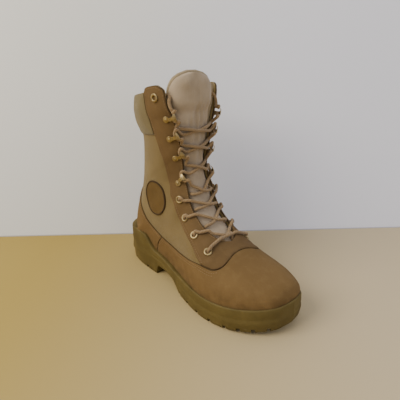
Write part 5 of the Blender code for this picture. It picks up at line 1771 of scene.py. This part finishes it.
def lace_finish():
    """Round braid with darker flecks."""
    lace = Finish("braided_lace", Sheen_Weight=0.2, Specular_IOR_Level=0.25)
    along, around = lace.cloth_axes()
    turn = 2.0 * math.pi / 0.0021
    first = ((along + around * 0.9) * turn).sine()
    second = ((along - around * 0.9) * turn).sine()
    braid = first * second
    fleck = (((along * 0.5 + around * 0.45) * turn).sine()).between(0.72, 0.95)
    cloud = lace.noise(0.012, 3.0)
    colour = lace.mix(cloud, (0.300, 0.195, 0.095), (0.430, 0.300, 0.160))
    colour = lace.mix((0.5 - 0.5 * braid) * 0.42, colour, (0.120, 0.070, 0.030))
    colour = lace.mix(fleck * 0.45, colour, (0.080, 0.046, 0.022))
    lace.bump(braid, 0.00025, 0.8)
    return lace.set(Base_Color=colour, Roughness=0.80 + 0.1 * cloud)


def thread_finish():
    thread = Finish("thread")
    twist = thread.noise(0.0006, 2.0)
    colour = thread.mix(twist, (0.200, 0.125, 0.055), (0.310, 0.205, 0.100))
    thread.bump(twist, 0.0001, 0.5)
    return thread.set(Base_Color=colour, Roughness=0.75 + 0.1 * twist)


def foam_finish():
    foam = Finish("insole_cloth")
    cloud = foam.noise(0.020, 3.0)
    fine = foam.noise(0.0012, 3.0)
    colour = foam.mix(cloud, (0.20, 0.15, 0.09), (0.32, 0.25, 0.16))
    foam.bump(fine, 0.0003, 0.7)
    return foam.set(Base_Color=colour, Roughness=0.85 + 0.1 * fine)


def studio_finish(name, first, second, stretch, **constants):
    """Colour that drifts from first to second across the picture: a painted fall of light over
    floor and wall, with painted shade along the foot of the wall.
    """
    plain = Finish(name, Specular_IOR_Level=0.1, **constants)
    x, y, z = plain.axes()
    turn = math.radians(AZIMUTH)
    right = x * math.cos(turn) + y * math.sin(turn)
    colour = plain.mix(right.between(-stretch, stretch), first, second)
    # Painted shade: a dark band along the foot of the wall, where it meets the floor.
    foot = (1.0 - z.between(0.0006, 0.0030)) * z.between(0.00002, 0.00010)
    colour = plain.mix(foot * 0.55, colour, (0.16, 0.13, 0.10))
    return plain.set(Base_Color=colour, Roughness=0.9)


# Studio

AZIMUTH = 49.15
ELEVATION = 20.57
ROLL = -1.34
DISTANCE = 0.46982
TARGET = Vector((0.00126, MIDLINE, 0.12241))
FOCAL_PIXELS = 359.13
FRAME_PIXELS = 400.0
SENSOR = 36.0
WALL_BEHIND = 0.158
FLOOR_REACH = 3.0
WALL_REACH = 1.5
SKY = (0.88, 0.87, 0.90, 1.0)
SKY_STRENGTH = 0.62
LIGHTS = [
    # name, azimuth, elevation, distance, size, power, colour
    ("key", -14.0, 40.0, 1.3, 0.9, 15.0, (1.0, 0.91, 0.75)),
    ("fill", 95.0, 30.0, 1.4, 1.2, 3.5, (0.93, 0.94, 1.0)),
    ("rear", 225.0, 45.0, 1.3, 1.0, 4.0, (1.0, 0.97, 0.92)),
]


def towards(azimuth, elevation):
    """Direction from the boot, in degrees round from straight ahead and up."""
    turn, rise = math.radians(azimuth), math.radians(elevation)
    return Vector((math.sin(turn) * math.cos(rise), -math.cos(turn) * math.cos(rise),
                   math.sin(rise)))


def view_axes():
    back = towards(AZIMUTH, ELEVATION)
    turn = math.radians(AZIMUTH)
    right = Vector((math.cos(turn), math.sin(turn), 0.0))
    return right, back.cross(right), back


def make_camera():
    right, up, back = view_axes()
    roll = math.radians(ROLL)
    turned_right = right * math.cos(roll) + up * math.sin(roll)
    turned_up = up * math.cos(roll) - right * math.sin(roll)
    camera = bpy.data.objects.new("camera", bpy.data.cameras.new("camera"))
    camera.data.sensor_width = SENSOR
    camera.data.lens = FOCAL_PIXELS / FRAME_PIXELS * SENSOR
    camera.data.clip_start = 0.01
    camera.matrix_world = frame_of(turned_right, turned_up, back, TARGET + back * DISTANCE)
    bpy.context.scene.collection.objects.link(camera)
    bpy.context.scene.camera = camera


def plane(name, size, matrix, finish):
    work = bmesh.new()
    bmesh.ops.create_grid(work, x_segments=1, y_segments=1, size=size, matrix=matrix)
    finish_mesh(name, work, finish, shift=0.0)


def soft_light(name, azimuth, elevation, distance, size, power, colour):
    light = bpy.data.lights.new(name, "AREA")
    light.shape = "DISK"
    light.size = size
    light.energy = power
    light.color = colour
    thing = bpy.data.objects.new(name, light)
    back = towards(azimuth, elevation)
    thing.location = TARGET + back * distance
    thing.rotation_mode = "QUATERNION"
    thing.rotation_quaternion = back.to_track_quat("Z", "Y")
    bpy.context.scene.collection.objects.link(thing)


def make_studio():
    # Painted light: floor and wall drift in colour across the picture as the light falls on them.
    floor_finish = studio_finish("studio_floor", (0.41, 0.30, 0.088), (0.60, 0.50, 0.33), 0.28)
    # Painted light: the wall glows a faint blue, though it is no lamp.
    wall_finish = studio_finish("studio_wall", (0.80, 0.82, 0.80), (0.86, 0.88, 0.97), 0.20,
                                Emission_Color=(0.55, 0.65, 1.0, 1.0), Emission_Strength=0.10)
    right, _, back = view_axes()
    level_back = Vector((back.x, back.y, 0.0)).normalized()
    spot = Vector((TARGET.x, TARGET.y, 0.0)) - level_back * WALL_BEHIND
    plane("studio_floor", FLOOR_REACH, Matrix.Identity(4), floor_finish)
    middle = spot + Vector((0.0, 0.0, WALL_REACH))
    plane("studio_wall", WALL_REACH, frame_of(right, (0, 0, 1), level_back, middle), wall_finish)
    tree = wall_finish.node_tree
    output = tree.nodes["Material Output"]
    mixer = tree.nodes.new("ShaderNodeMixShader")
    rear = tree.nodes.new("ShaderNodeNewGeometry")
    clear = tree.nodes.new("ShaderNodeBsdfTransparent")
    tree.links.new(rear.outputs["Backfacing"], mixer.inputs[0])
    tree.links.new(tree.nodes["Principled BSDF"].outputs[0], mixer.inputs[1])
    tree.links.new(clear.outputs[0], mixer.inputs[2])
    tree.links.new(mixer.outputs[0], output.inputs[0])
    world = bpy.data.worlds.new("studio")
    bpy.context.scene.world = world
    world.use_nodes = True
    sky = world.node_tree.nodes["Background"]
    sky.inputs["Color"].default_value = SKY
    sky.inputs["Strength"].default_value = SKY_STRENGTH
    for row in LIGHTS:
        soft_light(*row)


# The boot

def collar_top(half, station, share, gaps, spots):
    near = np.clip(gaps / SWELL_REACH, 0.0, 1.0)
    swell = (SWELL_STEEP * np.sqrt(1.0 - (1.0 - near) ** 2)
             + (1.0 - SWELL_STEEP) * smooth(near))
    return 2 * GAP + COLLAR_EDGE * 0.7 + COLLAR_PADDING * swell


def patch_top(half, station, share, gaps, spots):
    return GAP + PATCH_THICKNESS * (0.75 + 0.45 * smooth((gaps - PATCH_RIM) / PATCH_BEVEL))


def quarter_top(half, station, share, gaps, spots):
    return np.zeros(len(gaps))


def lining_top(half, station, share, gaps, spots):
    return np.full(len(gaps), -WALL - 0.0001)


def make_boot():
    # The last colour of each suede is for dirt low down and, where edged, for the painted shade
    # along its cut edges.
    suede = suede_finish("tan_suede", (0.146, 0.088, 0.032), (0.172, 0.106, 0.040),
                         (0.216, 0.140, 0.058), (0.044, 0.026, 0.011))
    facing_suede = suede_finish("facing_suede", (0.122, 0.075, 0.031), (0.146, 0.091, 0.038),
                                (0.184, 0.119, 0.054), (0.036, 0.021, 0.010))
    patch_suede = suede_finish("patch_suede", (0.108, 0.066, 0.021), (0.132, 0.082, 0.027),
                               (0.160, 0.104, 0.038), (0.040, 0.024, 0.011))
    piping = suede_finish("dark_piping", (0.040, 0.024, 0.012), (0.062, 0.038, 0.018),
                          (0.090, 0.056, 0.028), (0.030, 0.018, 0.010), edged=False)
    quarter_cloth = woven_finish("quarter_textile", (0.187, 0.129, 0.043), (0.228, 0.163, 0.060),
                                 0.0011, 0.00030)
    # The collar's seam colour is partly painted shade along its edges.
    collar_cloth = woven_finish("collar_textile", (0.160, 0.124, 0.051), (0.202, 0.158, 0.071),
                                0.0013, 0.00035, seam=(0.150, 0.115, 0.050))
    tongue_cloth = woven_finish("tongue_textile", (0.385, 0.300, 0.200), (0.500, 0.400, 0.290),
                                0.0010, 0.00025)
    binding = woven_finish("binding_tape", (0.330, 0.255, 0.150), (0.420, 0.335, 0.210),
                           0.0008, 0.00030)
    lining_cloth = woven_finish("lining_cloth", (0.150, 0.108, 0.058), (0.205, 0.152, 0.085),
                                0.0012, 0.00030)
    rubber = rubber_finish()
    brass = brass_finish()
    lace = lace_finish()
    thread = thread_finish()

    top = float(LAST_STATION)
    quarter = skin("quarters", quarter_cloth, SIDES, (0.0, top), (220, 66), whole_span,
                   quarter_edge, -WALL, quarter_top)
    dress(quarter, "textile", "upper")
    lining = skin("lining", lining_cloth, SIDES, (station_at(0.80), top), (90, 40), whole_span,
                  lining_edge, -WALL - LINING_THICKNESS, lining_top)
    dress(lining, "textile")
    foot_end = float(FOOT_COUNT + 6)
    vamp = skin("vamp_leather", suede, SIDES, (0.0, foot_end), (210, 90), whole_span,
                vamp_edge, GAP, leather_top(LEATHER, STITCH_ROWS))
    dress(vamp, "suede", "vamp")
    counter = skin("counter_leather", suede, SIDES, (float(FOOT_COUNT - 11), foot_end),
                   (110, 90), whole_span, counter_edge, GAP, leather_top(LEATHER, STITCH_ROWS))
    dress(counter, "suede", "heel_counter")
    facings = []
    for side, word in zip(SIDES, ("lateral", "medial")):
        facing = skin(f"facing_{word}", facing_suede, (side,), (station_at(0.560), top),
                      (160, 22), facing_span, facing_edge, GAP,
                      leather_top(FACING, FACING_ROWS))
        facings.append(dress(facing, "facing_suede", f"eyestay_{word}"))
    collar = skin("collar_pad", collar_cloth, SIDES, (0.0, 1.0), (34, 56),
                  collar_span, collar_edge, 2 * GAP, collar_top)
    dress(collar, "collar_textile", "collar")
    patch = skin("patch_pad", patch_suede, (LATERAL,),
                 (float(FOOT_COUNT - 9), float(FOOT_COUNT + 3)), (60, 60), patch_span,
                 patch_edge, GAP, patch_top)
    dress(patch, "suede", "ankle_patch")
    oval = np.array([PATCH_CENTRE + (PATCH_WIDTH / 2 * math.cos(turn),
                                     PATCH_HEIGHT / 2 * math.sin(turn))
                     for turn in np.linspace(0.0, 2 * math.pi, 73)])
    spots, outwards = cast_side(tree_of(quarter), oval, LATERAL)
    ring = np.array([spot + outward * PIPING_LIFT for spot, outward in zip(spots, outwards)])
    ring[:, 1] -= MIDLINE
    dress(tube("patch_piping", ring, PIPING_RADIUS, piping, sides=8), "suede")
    sole = make_outsole(rubber, [vamp, counter])
    dress(sole, "rubber", "outsole")
    dress(make_insole(foam_finish()), "insole_foam", "insole")
    tongue = make_tongue(tongue_cloth)
    dress(tongue, "tongue_textile", "tongue")
    dress(tube("tongue_binding", tongue_border(BINDING_START), BINDING_RADIUS, binding, sides=10),
          "tongue_textile")
    for side, word in zip(SIDES, ("lateral", "medial")):
        for number, row in enumerate(EYELET_ROWS + [TAB_ROW], start=1):
            label = "tab" if row == TAB_ROW else str(number)
            dress(make_eyelet(f"ring_{word}_{label}", side, row, brass), "brass",
                  f"eyelet_{word}_{label}")
        for number, row in enumerate(HOOK_ROWS, start=1):
            dress(make_hook(f"speed_hook_{word}_{number}", side, row, brass), "brass",
                  f"hook_{word}_{number}")
    make_laces(lace)
    dress(make_stitches(thread, [vamp, counter], facings), "suede")


make_boot()
make_camera()
make_studio()
